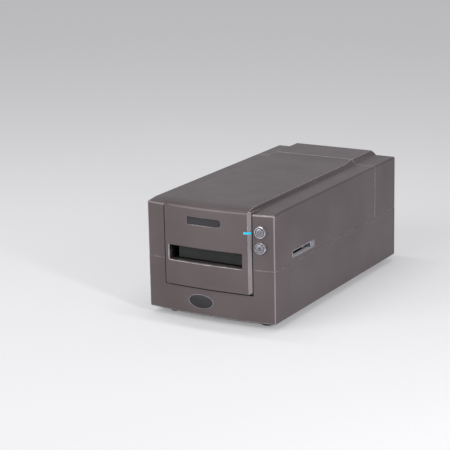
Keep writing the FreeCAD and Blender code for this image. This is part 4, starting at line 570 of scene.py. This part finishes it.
# The rims get a painted highlight; the gap and its rounded edges get black as painted shade.
for shell in ("lower_housing", "upper_housing", "rear_cover"):
    rounded(shell, 0.35, TAUPE, TAUPE_EDGE_WORN_AND_HIGHLIT, [(on_rim_painted_highlight, TAUPE_PAINTED_HIGHLIGHT), (in_gap_painted_shade, BLACK_ABS)],
            smooth_normal=SKINS.get(shell), calm=[(by_gap_painted_shade, BLACK_ABS)])
rounded("band_cover", 0.35, TAUPE, TAUPE_EDGE_WORN_AND_HIGHLIT, [(on_cheek_painted_highlight, TAUPE_PAINTED_HIGHLIGHT)],
        smooth_normal=SKINS["band_cover"], calm=[(by_slot, TAUPE), (under_band, TAUPE)])

# %% [markdown]
# ## Smaller mouldings
# The tray of the lock is silver outside. Its inner walls are pale and dull: painted light that
# stands in for the light its silver walls catch. Its back wall is black: painted shade in the
# deep recess. Knob, flap, pan, panel, light guide and sockets are rounded by the same function
# with smaller radii. Each could be modelled anew, but one rule keeps their edges alike.
# %% Round the smaller mouldings
TRAY_WALL = 1.2 * MM
TRAY_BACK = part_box("lock_tray")[0][0] + TRAY_WALL
TRAY_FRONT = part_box("lock_tray")[1][0] - TRAY_WALL
LEAST_WALL = 1.0 * MM ** 2  # Faces smaller than this keep the tray's own silver.


def tray_back_painted_shade(face):
    """True for the tray's back wall, which is painted black as shade."""
    return face.calc_center_median().x < TRAY_BACK


def tray_wall_painted_light(face):
    """True for the walls inside the tray, which get a pale painted light."""
    inside = TRAY_BACK <= face.calc_center_median().x < TRAY_FRONT
    return inside and face.calc_area() > LEAST_WALL


# The tray's back wall is painted black as shade and its inner walls pale as painted light; its
# rounded edges take the paler silver, partly wear and partly a painted highlight.
rounded("lock_tray", 0.25, SILVER, SILVER_EDGE_WORN_AND_HIGHLIT, [(tray_back_painted_shade, BLACK_ABS), (tray_wall_painted_light, PALE_TRAY_LACQUER_PAINTED_LIGHT)])
rounded("lock_knob", 0.4, SILVER, SILVER_EDGE_WORN_AND_HIGHLIT)
rounded("dust_flap", 0.2, GREY_ABS, GREY_ABS)
rounded("base_pan", 0.4, BLACK_ABS, BLACK_ABS)
rounded("rear_panel", 0.15, STEEL, STEEL)
rounded("light_pipe", 0.15, GUIDE, GUIDE)
rounded("data_port", 0.12, NICKEL, NICKEL)
rounded("power_jack", 0.2, BLACK_ABS, BLACK_ABS)

# %% [markdown]
# ## Name film with a fine rim
# The plate over the slot carries no name here. It is a printed film under clear lacquer, sunk
# by a third of a millimetre inside a fine rim. Its front faces are inset twice: once for the
# flat of the rim, once for the small step down.
# %% Name film
work = welded("nameplate")
front = [face for face in work.faces if face.normal.y < -0.9]
bmesh.ops.inset_region(work, faces=front, thickness=0.75 * MM, use_even_offset=True)
rim = [face for face in work.faces if face.normal.y < -0.9 and face not in front]
bmesh.ops.inset_region(work, faces=front, thickness=0.2 * MM, depth=-0.3 * MM,
                       use_even_offset=True)
print("name film: rim of", len(rim), "faces")
rounded("nameplate", 0.12, PLATE, BLACK_ALLOY, work=work)

# %% [markdown]
# ## Geometry nodes: a lathe, a grid and a row of ribs
# What is turned, what repeats and what stands in a row each follow a rule, so three trees
# make them. Spin and Array would do as well, but a tree keeps its sizes as named inputs, and
# the same tree then serves every piece of its kind.
# %% Start and run a tree
def new_tree(name, inputs):
    """Start a tree with a mesh in, a mesh out and these named inputs."""
    tree = bpy.data.node_groups.new(name, "GeometryNodeTree")
    for label, kind in [("Geometry", "Geometry")] + inputs + [("Finish", "Material")]:
        tree.interface.new_socket(label, in_out="INPUT", socket_type="NodeSocket" + kind)
    tree.interface.new_socket("Geometry", in_out="OUTPUT", socket_type="NodeSocketGeometry")
    return tree, add(tree, "NodeGroupInput").outputs


def end_tree(tree, shape, finish_in):
    """Make copies real, give them their finish and send them out."""
    real = add(tree, "RealizeInstances", links={"Geometry": shape})
    smooth = add(tree, "SetShadeSmooth", links={"Geometry": real.outputs[0]})
    done = add(tree, "SetMaterial", links={"Geometry": smooth.outputs[0],
                                           "Material": finish_in})
    add(tree, "NodeGroupOutput", links={"Geometry": done.outputs[0]})


def grown(tree, start, **sizes):
    """Run a tree on a start mesh with these sizes; the result is a plain mesh."""
    maker = bpy.data.objects.new("maker", start)
    bpy.context.scene.collection.objects.link(maker)
    step = maker.modifiers.new("tree", "NODES")
    step.node_group = tree
    for socket in tree.interface.items_tree:
        key = socket.name.lower().replace(" ", "_")
        if socket.in_out == "INPUT" and key in sizes:
            step[socket.identifier] = sizes[key]
    ready = maker.evaluated_get(bpy.context.evaluated_depsgraph_get())
    mesh = bpy.data.meshes.new_from_object(ready)
    bpy.data.objects.remove(maker)
    return mesh


def fitted(name, mesh, place, body, hides=(), sharp_turn=38):
    """Put a plain mesh in its place as a named piece that rides on a body."""
    mesh.transform(place)
    work = bmesh.new()
    work.from_mesh(mesh)
    bmesh.ops.remove_doubles(work, verts=work.verts, dist=WELD)
    bmesh.ops.recalc_face_normals(work, faces=work.faces)
    for face in work.faces:
        face.smooth = True
    work.to_mesh(mesh)
    work.free()
    mesh.set_sharp_from_angle(angle=math.radians(sharp_turn))
    made = bpy.data.objects.new(name, mesh)
    bpy.context.scene.collection.objects.link(made)
    if hides:
        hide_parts(*hides)
    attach(made, body)
    print(name, "has", len(mesh.polygons), "faces")
    return made


def facing(place, outward, up=(0, 0, 1)):
    """A place for a piece whose own Z is outward and whose own Y is up."""
    outward, up = Vector(outward).normalized(), Vector(up).normalized()
    turn = Matrix((up.cross(outward), up, outward)).transposed().to_4x4()
    turn.translation = place
    return turn


def edges_of(points_mm, closed):
    """A line of flat points as a mesh of edges."""
    mesh = bpy.data.meshes.new("line")
    ends = [(i, i + 1) for i in range(len(points_mm) - 1)]
    ends += [(len(points_mm) - 1, 0)] if closed else []
    mesh.from_pydata([(x * MM, y * MM, 0) for x, y in points_mm], ends, [])
    return mesh


# %% The lathe tree
LATHE, given = new_tree("turned on a lathe", [("Core", "Float"), ("Sides", "Int"),
                                              ("Corner", "Float")])
line = add(LATHE, "MeshToCurve", links={"Mesh": given["Geometry"]})
soft = add(LATHE, "FilletCurve", {"mode": "POLY", "Count": 4, "Limit Radius": True},
           {"Curve": line.outputs[0], "Radius": given["Corner"]})
path_round = add(LATHE, "CurvePrimitiveCircle", links={"Resolution": given["Sides"],
                                                       "Radius": given["Core"]})
skin = add(LATHE, "CurveToMesh", links={"Curve": path_round.outputs[0],
                                        "Profile Curve": soft.outputs[0]})
shut = add(LATHE, "MergeByDistance", {"Distance": WELD}, {"Geometry": skin.outputs[0]})
end_tree(LATHE, shut.outputs[0], given["Finish"])


def turned(section_mm, corner_mm, finish_used, sides=64):
    """Turn a section: each point is so far from the axis, and so far out along it."""
    core = 1.0
    on_axis = section_mm[0][0] == 0
    line = edges_of([(r - core, -out) for r, out in section_mm], closed=not on_axis)
    return grown(LATHE, line, core=core * MM, sides=sides, corner=corner_mm * MM,
                 finish=finish_used)


print("lathe tree:", len(LATHE.nodes), "nodes")

# %% [markdown]
# ## Button rings and caps
# Each button is a satin silver cap in a domed ring of the same finish. The ring's outer flank
# is what flashes towards the lamp, and the narrow gap round the cap stays dark, so both are
# turned with the section of the real part. The upper cap carries the sign for power and the
# lower one the sign for eject, printed in dark ink.
# %% Rings and caps
BUTTON_X = 74.0 * MM
LEAN = BUTTON_X / BOW_RADIUS
OUT = (LEAN, -math.sqrt(1 - LEAN ** 2), 0)
CAP_TOP = 4.86  # Where the sign is printed, in mm out from the front.
# Each point is so many mm from the axis, and so many out from the front.
RING = [(5.9, 3.7), (6.35, 4.35), (6.9, 4.05), (7.65, 2.75), (8.2, 0.15), (8.2, 0), (6.9, 0),
        (6.9, -5.8), (5.9, -5.8)]
CAP = [(0, 4.9), (4.1, CAP_TOP), (5.1, 4.5), (5.6, 3.7), (5.6, -6.35), (6.85, -6.35),
       (6.85, -7.8), (2.0, -7.8), (2.0, -16.7), (0, -16.7)]
BUTTONS = {}
for level in ("upper", "lower"):
    low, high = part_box(level + "_button_ring")
    face_y = front_at(BUTTON_X)
    BUTTONS[level] = facing((BUTTON_X, face_y, (low[2] + high[2]) / 2), OUT)
    # The ring takes the paler edge silver: partly wear, partly a painted highlight.
    fitted(level + "_ring_turned", turned(RING, 0.5, SILVER_EDGE_WORN_AND_HIGHLIT), BUTTONS[level],
           BODY_OF[level + "_button_ring"], [level + "_button_ring"])
    fitted(level + "_cap_turned", turned(CAP, 0.45, SILVER), BUTTONS[level],
           BODY_OF[level + "_button"], [level + "_button"])

# %% [markdown]
# ## Signs on the caps
# A sign is pad-printed ink, a few hundredths of a millimetre thick. It could be an image on
# the cap, but an outline pulled out to that thickness stays crisp from near and needs no
# picture. It rides with its cap.
# %% Print the two signs
def printed(name, outlines_mm, place, thick_mm, finish_used, body):
    """Ink on a surface: flat outlines with a hair's thickness."""
    work = bmesh.new()
    for outline in outlines_mm:
        face = work.faces.new([work.verts.new((x * MM, y * MM, 0)) for x, y in outline])
        grown_out = bmesh.ops.extrude_face_region(work, geom=[face])["geom"]
        lifted = [part for part in grown_out if isinstance(part, bmesh.types.BMVert)]
        bmesh.ops.translate(work, verts=lifted, vec=(0, 0, thick_mm * MM))
    mesh = bpy.data.meshes.new(name)
    work.to_mesh(mesh)
    work.free()
    mesh.materials.append(finish_used)
    return fitted(name, mesh, place, body)


def arc(radius, start, end, count=20):
    """Points along an arc, with its angles in degrees from the top."""
    return [(radius * math.sin(math.radians(start + (end - start) * i / count)),
             radius * math.cos(math.radians(start + (end - start) * i / count)))
            for i in range(count + 1)]


def bar(x, y, wide, tall):
    """A rectangle about a centre."""
    return [(x - wide / 2, y - tall / 2), (x + wide / 2, y - tall / 2),
            (x + wide / 2, y + tall / 2), (x - wide / 2, y + tall / 2)]


POWER = [arc(2.6, 36, 324) + arc(1.95, 324, 36), bar(0, 1.9, 0.62, 2.5)]
EJECT = [[(-2.3, -0.3), (2.3, -0.3), (0, 2.3)], bar(0, -1.4, 4.6, 0.8)]
for level, sign in (("upper", POWER), ("lower", EJECT)):
    printed(level + "_sign", sign, BUTTONS[level] @ Matrix.Translation((0, 0, CAP_TOP * MM)),
            0.07, PRINT, BODY_OF[level + "_button"])

# %% [markdown]
# ## Screws and feet on a grid
# Four pan-head screws hold the pan, four smaller ones the socket panel, and four feet stand
# at the corners. Each set is one shape on a two by two grid, so one tree copies a shape onto
# the points of a grid, and the shape itself is turned or built once.
# %% The grid tree and the screw
GRID, given = new_tree("set on a grid", [("Width", "Float"), ("Length", "Float")])
points = add(GRID, "MeshGrid", {"Vertices X": 2, "Vertices Y": 2},
             {"Size X": given["Width"], "Size Y": given["Length"]})
copies = add(GRID, "InstanceOnPoints", links={"Points": points.outputs[0],
                                              "Instance": given["Geometry"]})
end_tree(GRID, copies.outputs[0], given["Finish"])


def screw(head_mm, tall_mm, shank_mm, long_mm, sides=24):
    """A pan-head screw with a cross recess; its head stands out along its own Z."""
    work = bmesh.new()

    def ring(radius, out):
        return [work.verts.new((radius * math.cos(math.tau * i / sides) * MM,
                                radius * math.sin(math.tau * i / sides) * MM, out * MM))
                for i in range(sides)]

    def skirt(low, high):
        for i in range(len(low)):
            j = (i + 1) % len(low)
            work.faces.new((low[i], low[j], high[j], high[i]))

    def cross(arm, half, out):
        spots = []
        for turn in range(4):
            c, n = math.cos(turn * math.pi / 2), math.sin(turn * math.pi / 2)
            for x, y in ((arm, -half), (arm, half), (half, half)):
                spots.append((x * c - y * n, x * n + y * c))
        return [work.verts.new((x * MM, y * MM, out * MM)) for x, y in spots]

    rings = [ring(shank_mm * 0.5, -long_mm), ring(shank_mm, -long_mm + 1), ring(shank_mm, 0),
             ring(head_mm, 0), ring(head_mm, tall_mm * 0.5),
             ring(head_mm * 0.9, tall_mm * 0.82), ring(head_mm * 0.68, tall_mm)]
    for low, high in zip(rings, rings[1:]):
        skirt(low, high)
    work.faces.new(list(reversed(rings[0])))
    mouth = cross(head_mm * 0.5, head_mm * 0.13, tall_mm)
    floor_ring = cross(head_mm * 0.3, head_mm * 0.08, tall_mm * 0.35)
    skirt(mouth, floor_ring)
    work.faces.new(floor_ring)
    rim_edges = [work.edges.get((rings[-1][i], rings[-1][(i + 1) % sides]))
                 for i in range(sides)]
    mouth_edges = [work.edges.get((mouth[i], mouth[(i + 1) % len(mouth)]))
                   for i in range(len(mouth))]
    bmesh.ops.triangle_fill(work, use_beauty=True, use_dissolve=False, normal=(0, 0, 1),
                            edges=rim_edges + mouth_edges)
    mesh = bpy.data.meshes.new("screw")
    work.to_mesh(mesh)
    work.free()
    return mesh


def grid_place(node, outward, up, depth):
    """The middle of a part's box across, at a depth along one axis."""
    low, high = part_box(node)
    middle = Vector([(low[i] + high[i]) / 2 for i in range(3)])
    axis = max(range(3), key=lambda i: abs(outward[i]))
    middle[axis] = depth
    return facing(middle, outward, up)


def on_corners(node, shape, inset_mm, axes, finish_used):
    """A shape at the four corners of a part's box, in from its ends by the inset."""
    low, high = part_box(node)
    width, length = [high[axis] - low[axis] - 2 * inset_mm * MM for axis in axes]
    return grown(GRID, shape, width=width, length=length, finish=finish_used)


HEAD_AT = 6  # The height of the inner faces of the case screws' heads, in mm.
low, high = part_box("case_screws")
long_screw = screw(3.0, 2.0, 1.45, high[2] / MM - HEAD_AT)
fitted("case_screws_crosshead", on_corners("case_screws", long_screw, 3, (0, 1), STEEL),
       grid_place("case_screws", (0, 0, -1), (0, 1, 0), HEAD_AT * MM),
       BODY_OF["case_screws"], ["case_screws"])

low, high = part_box("rear_panel")
fitted("panel_screws", on_corners("rear_panel", screw(2.2, 0.95, 1.1, 1.4), 5, (0, 2), STEEL),
       grid_place("rear_panel", (0, 1, 0), (0, 0, 1), high[1]),
       BODY_OF["rear_panel"])

low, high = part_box("rubber_feet")
FOOT = [(0, -0.01), (9, -0.01), (9, 2.6), (8.6, 2.9), (8.6, 3.4), (9, 3.7), (8.8, 5.1),
        (7.9, 6), (6, 6), (5.4, 5.4), (0, 5.4)]
foot = turned(FOOT, 0.35, RUBBER, 48)
fitted("rubber_feet_moulded", on_corners("rubber_feet", foot, 9, (0, 1), RUBBER),
       grid_place("rubber_feet", (0, 0, -1), (0, 1, 0), high[2]),
       BODY_OF["rubber_feet"], ["rubber_feet"])

# %% [markdown]
# ## Ribs in a row
# The flap has fine ribs across it, which stiffen the thin moulding and show as faint level
# lines. The knob of the lock has three short ribs for a fingernail. A rib is a small section
# pulled out to its length, then repeated at a pitch.
# %% The rib tree
RIBS, given = new_tree("row of ribs", [("Long", "Float"), ("Count", "Int"),
                                       ("Pitch", "Float")])
pulled = add(RIBS, "ExtrudeMesh", {"mode": "FACES", "Individual": False},
             {"Mesh": given["Geometry"], "Offset Scale": given["Long"]})
under = add(RIBS, "FlipFaces", links={"Mesh": given["Geometry"]})
both = add(RIBS, "JoinGeometry")
RIBS.links.new(pulled.outputs["Mesh"], both.inputs[0])
RIBS.links.new(under.outputs[0], both.inputs[0])
whole = add(RIBS, "MergeByDistance", {"Distance": WELD}, {"Geometry": both.outputs[0]})
step_by = add(RIBS, "ShaderNodeCombineXYZ", links={"X": given["Pitch"]})
row = add(RIBS, "MeshLine", links={"Count": given["Count"], "Offset": step_by.outputs[0]})
copies = add(RIBS, "InstanceOnPoints", links={"Points": row.outputs[0],
                                              "Instance": whole.outputs[0]})
end_tree(RIBS, copies.outputs[0], given["Finish"])


def ribs(wide_mm, proud_mm, long_mm, count, pitch_mm, finish_used):
    """A row of low round-backed ribs along X, each pulled out along Z, proud along Y."""
    half = wide_mm / 2
    section = [(-half, -0.05), (half, -0.05), (half * 0.75, proud_mm * 0.7),
               (half * 0.3, proud_mm), (-half * 0.3, proud_mm), (-half * 0.75, proud_mm * 0.7)]
    face = bpy.data.meshes.new("rib")
    face.from_pydata([(x * MM, y * MM, 0) for x, y in section], [], [range(len(section))])
    return grown(RIBS, face, long=long_mm * MM, count=count, pitch=pitch_mm * MM,
                 finish=finish_used)


def touch(node, start, way):
    """Where a straight line from a start first meets a part."""
    mesh = NODES[node].data
    solid = BVHTree.FromPolygons([vert.co for vert in mesh.vertices],
                                 [face.vertices for face in mesh.polygons])
    return solid.ray_cast(Vector(start), Vector(way))[0]


low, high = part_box("dust_flap")
FLAP_MID = ((low[0] + high[0]) / 2, low[1] - 5 * MM, low[2] + 4 * MM)
flap_y = touch("dust_flap", FLAP_MID, (0, 1, 0)).y
# The rib's own X runs up the flap, its Y forward and its Z across.
across = Matrix(((0, 0, 1, low[0] + 0.8 * MM), (0, -1, 0, flap_y),
                 (1, 0, 0, low[2] + 1.6 * MM), (0, 0, 0, 1)))
fitted("flap_ribs", ribs(0.7, 0.28, (high[0] - low[0]) / MM - 1.6, 6, 2.2, GREY_ABS), across,
       BODY_OF["dust_flap"])

low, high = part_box("lock_knob")
knob_mid = [(low[i] + high[i]) / 2 for i in range(3)]
# Across the knob: own X along the knob, own Y outward, own Z up.
nail = Matrix(((0, 1, 0, high[0] - 0.06 * MM), (-1, 0, 0, knob_mid[1] + 1.3 * MM),
               (0, 0, 1, low[2] + 1.3 * MM), (0, 0, 0, 1)))
# The ribs take the paler edge silver: partly wear, partly a painted highlight.
fitted("knob_ribs", ribs(0.6, 0.3, (high[2] - low[2]) / MM - 2.6, 3, 1.3, SILVER_EDGE_WORN_AND_HIGHLIT), nail,
       BODY_OF["lock_knob"])

# %% [markdown]
# ## A blank oval badge
# A badge sits low on the front. Here it is blank: a dark satin oval with a fine bright rim.
# Both are turned as circles, squeezed to an oval and bent to the bow of the front, because
# a flat badge would stand off the curved shell at its ends.
# %% Badge
BADGE_MIDDLE = Vector((-11.5 * MM, 0, 27.5 * MM))
BADGE_HALF = 18.5


def oval(section_mm, corner_mm, finish_used):
    """A turned piece squeezed to an oval, laid upright and bent to the front."""
    mesh = turned(section_mm, corner_mm, finish_used, 96)
    for vert in mesh.vertices:
        across, up, out = vert.co.x, vert.co.y * 0.5, vert.co.z
        x = BADGE_MIDDLE.x + across
        vert.co = (x, front_at(x) - out, BADGE_MIDDLE.z + up)
    return mesh


fitted("badge_face", oval([(0, 0.35), (BADGE_HALF - 1, 0.35), (BADGE_HALF - 1, -0.2),
                           (0, -0.2)], 0.1, PLATE), Matrix(), "housing")
fitted("badge_rim", oval([(BADGE_HALF - 1, -0.2), (BADGE_HALF - 1, 0.5), (BADGE_HALF, 0.4),
                          (BADGE_HALF + 0.1, -0.2)], 0.2, SILVER), Matrix(), "housing")

# %% [markdown]
# ## A pale floor
# The scanner stands on a plain pale floor under a plain pale background. The floor has a
# faint glow of its own, for what a viewer sees and not for the light on the scanner, which
# brings it nearer to the background's tone. A curved backdrop would do that as well, but it
# would be in the way of the views from behind.
# %% Floor
def camera_share(tree):
    """One for rays that a viewer sees, straight or by way of metal or glass; else nought."""
    path = add(tree, "LightPath")
    seen = add(tree, "Math", {"operation": "MAXIMUM"},
               {0: path.outputs["Is Camera Ray"], 1: path.outputs["Is Glossy Ray"]})
    return add(tree, "Math", {"operation": "MAXIMUM"},
               {0: seen.outputs[0], 1: path.outputs["Is Transmission Ray"]}).outputs[0]


floor_mesh = bpy.data.meshes.new("studio_floor")
reach = 6.0
floor_mesh.from_pydata([(-reach, -reach, 0), (reach, -reach, 0), (reach, reach, 0),
                        (-reach, reach, 0)], [], [(0, 1, 2, 3)])
floor = bpy.data.objects.new("studio_floor", floor_mesh)
bpy.context.scene.collection.objects.link(floor)
PAPER, tree, shader = finish("pale_matt_card", "#e6e6e8", 0.0, 0.6, Specular_IOR_Level=0.0)
spot = add(tree, "TexCoord").outputs["Object"]
fibre = add(tree, "TexNoise", {"Scale": repeats(1.5), "Detail": 4.0}, {"Vector": spot})
tooth = add(tree, "Bump", {"Strength": 0.15, "Distance": 0.02 * MM},
            {"Height": fibre.outputs["Fac"]})
tree.links.new(tooth.outputs["Normal"], shader.inputs["Normal"])
shader.inputs["Emission Color"].default_value = linear("#f0f0f2")
lift = add(tree, "Math", {"operation": "MULTIPLY", 1: 0.28}, {0: camera_share(tree)})
tree.links.new(lift.outputs[0], shader.inputs["Emission Strength"])
floor.data.materials.append(PAPER)
print("floor:", 2 * reach, "m square")

# %% [markdown]
# ## Soft light
# A large soft box at the front left gives the main light, as in a product shot, and the world
# fills the shadows. Two weaker, narrow strips light the top and the right side. A single sun
# would be simpler, but a satin lacquer shows its form by what it mirrors.
# %% World and lamps
world = bpy.data.worlds.new("pale studio")
bpy.context.scene.world = world
world.use_nodes = True
tree = world.node_tree
back = tree.nodes["Background"]
power = add(tree, "MapRange", {"To Min": 0.32, "To Max": 0.55}, {"Value": camera_share(tree)})
back.inputs["Color"].default_value = linear("#f0f0f2")
tree.links.new(power.outputs["Result"], back.inputs["Strength"])


def soft_lamp(name, place, aim, wide, tall, watts):
    """A soft box that faces a point; places and sizes are in metres."""
    light = bpy.data.lights.new(name, "AREA")
    light.shape = "RECTANGLE"
    light.size, light.size_y = wide, tall
    light.energy = watts
    lamp = bpy.data.objects.new(name, light)
    lamp.location = place
    lamp.rotation_euler = (Vector(aim) - Vector(place)).to_track_quat("-Z", "Y").to_euler()
    bpy.context.scene.collection.objects.link(lamp)


soft_lamp("key_soft_box", (-0.8, -2.0, 0.9), (0, 0, 0.08), 1.9, 1.9, 27)
soft_lamp("strip_over_the_top", (0, 0, 1.4), (0, -0.1, 0.1), 1.2, 0.1, 4.5)
soft_lamp("strip_at_the_right", (1.2, -0.7, 0.6), (0.07, -0.1, 0.09), 0.12, 0.6, 6)

# %% [markdown]
# ## The camera
# Place, turn and lens were worked out from the housing's corners and upright edges in the
# photograph, for a square picture. A camera set by eye would be quicker, but then no edge
# could be compared with the photograph's.
# %% Camera
RIGHT = Vector((0.86497, 0.50140, -0.02066))
UP = Vector((-0.11331, 0.23525, 0.96531))
AHEAD = Vector((-0.48886, 0.83262, -0.26030))
lens = bpy.data.cameras.new("photo_camera")
lens.sensor_width = 36.0
lens.lens = 129.87
camera = bpy.data.objects.new("photo_camera", lens)
stand = Matrix((RIGHT, UP, -AHEAD)).transposed().to_4x4()
stand.translation = (1.0075, -1.8502, 0.6547)
camera.matrix_world = stand
bpy.context.scene.collection.objects.link(camera)
bpy.context.scene.camera = camera
bpy.context.scene.view_settings.view_transform = "Standard"
print("camera:", lens.lens, "mm lens")
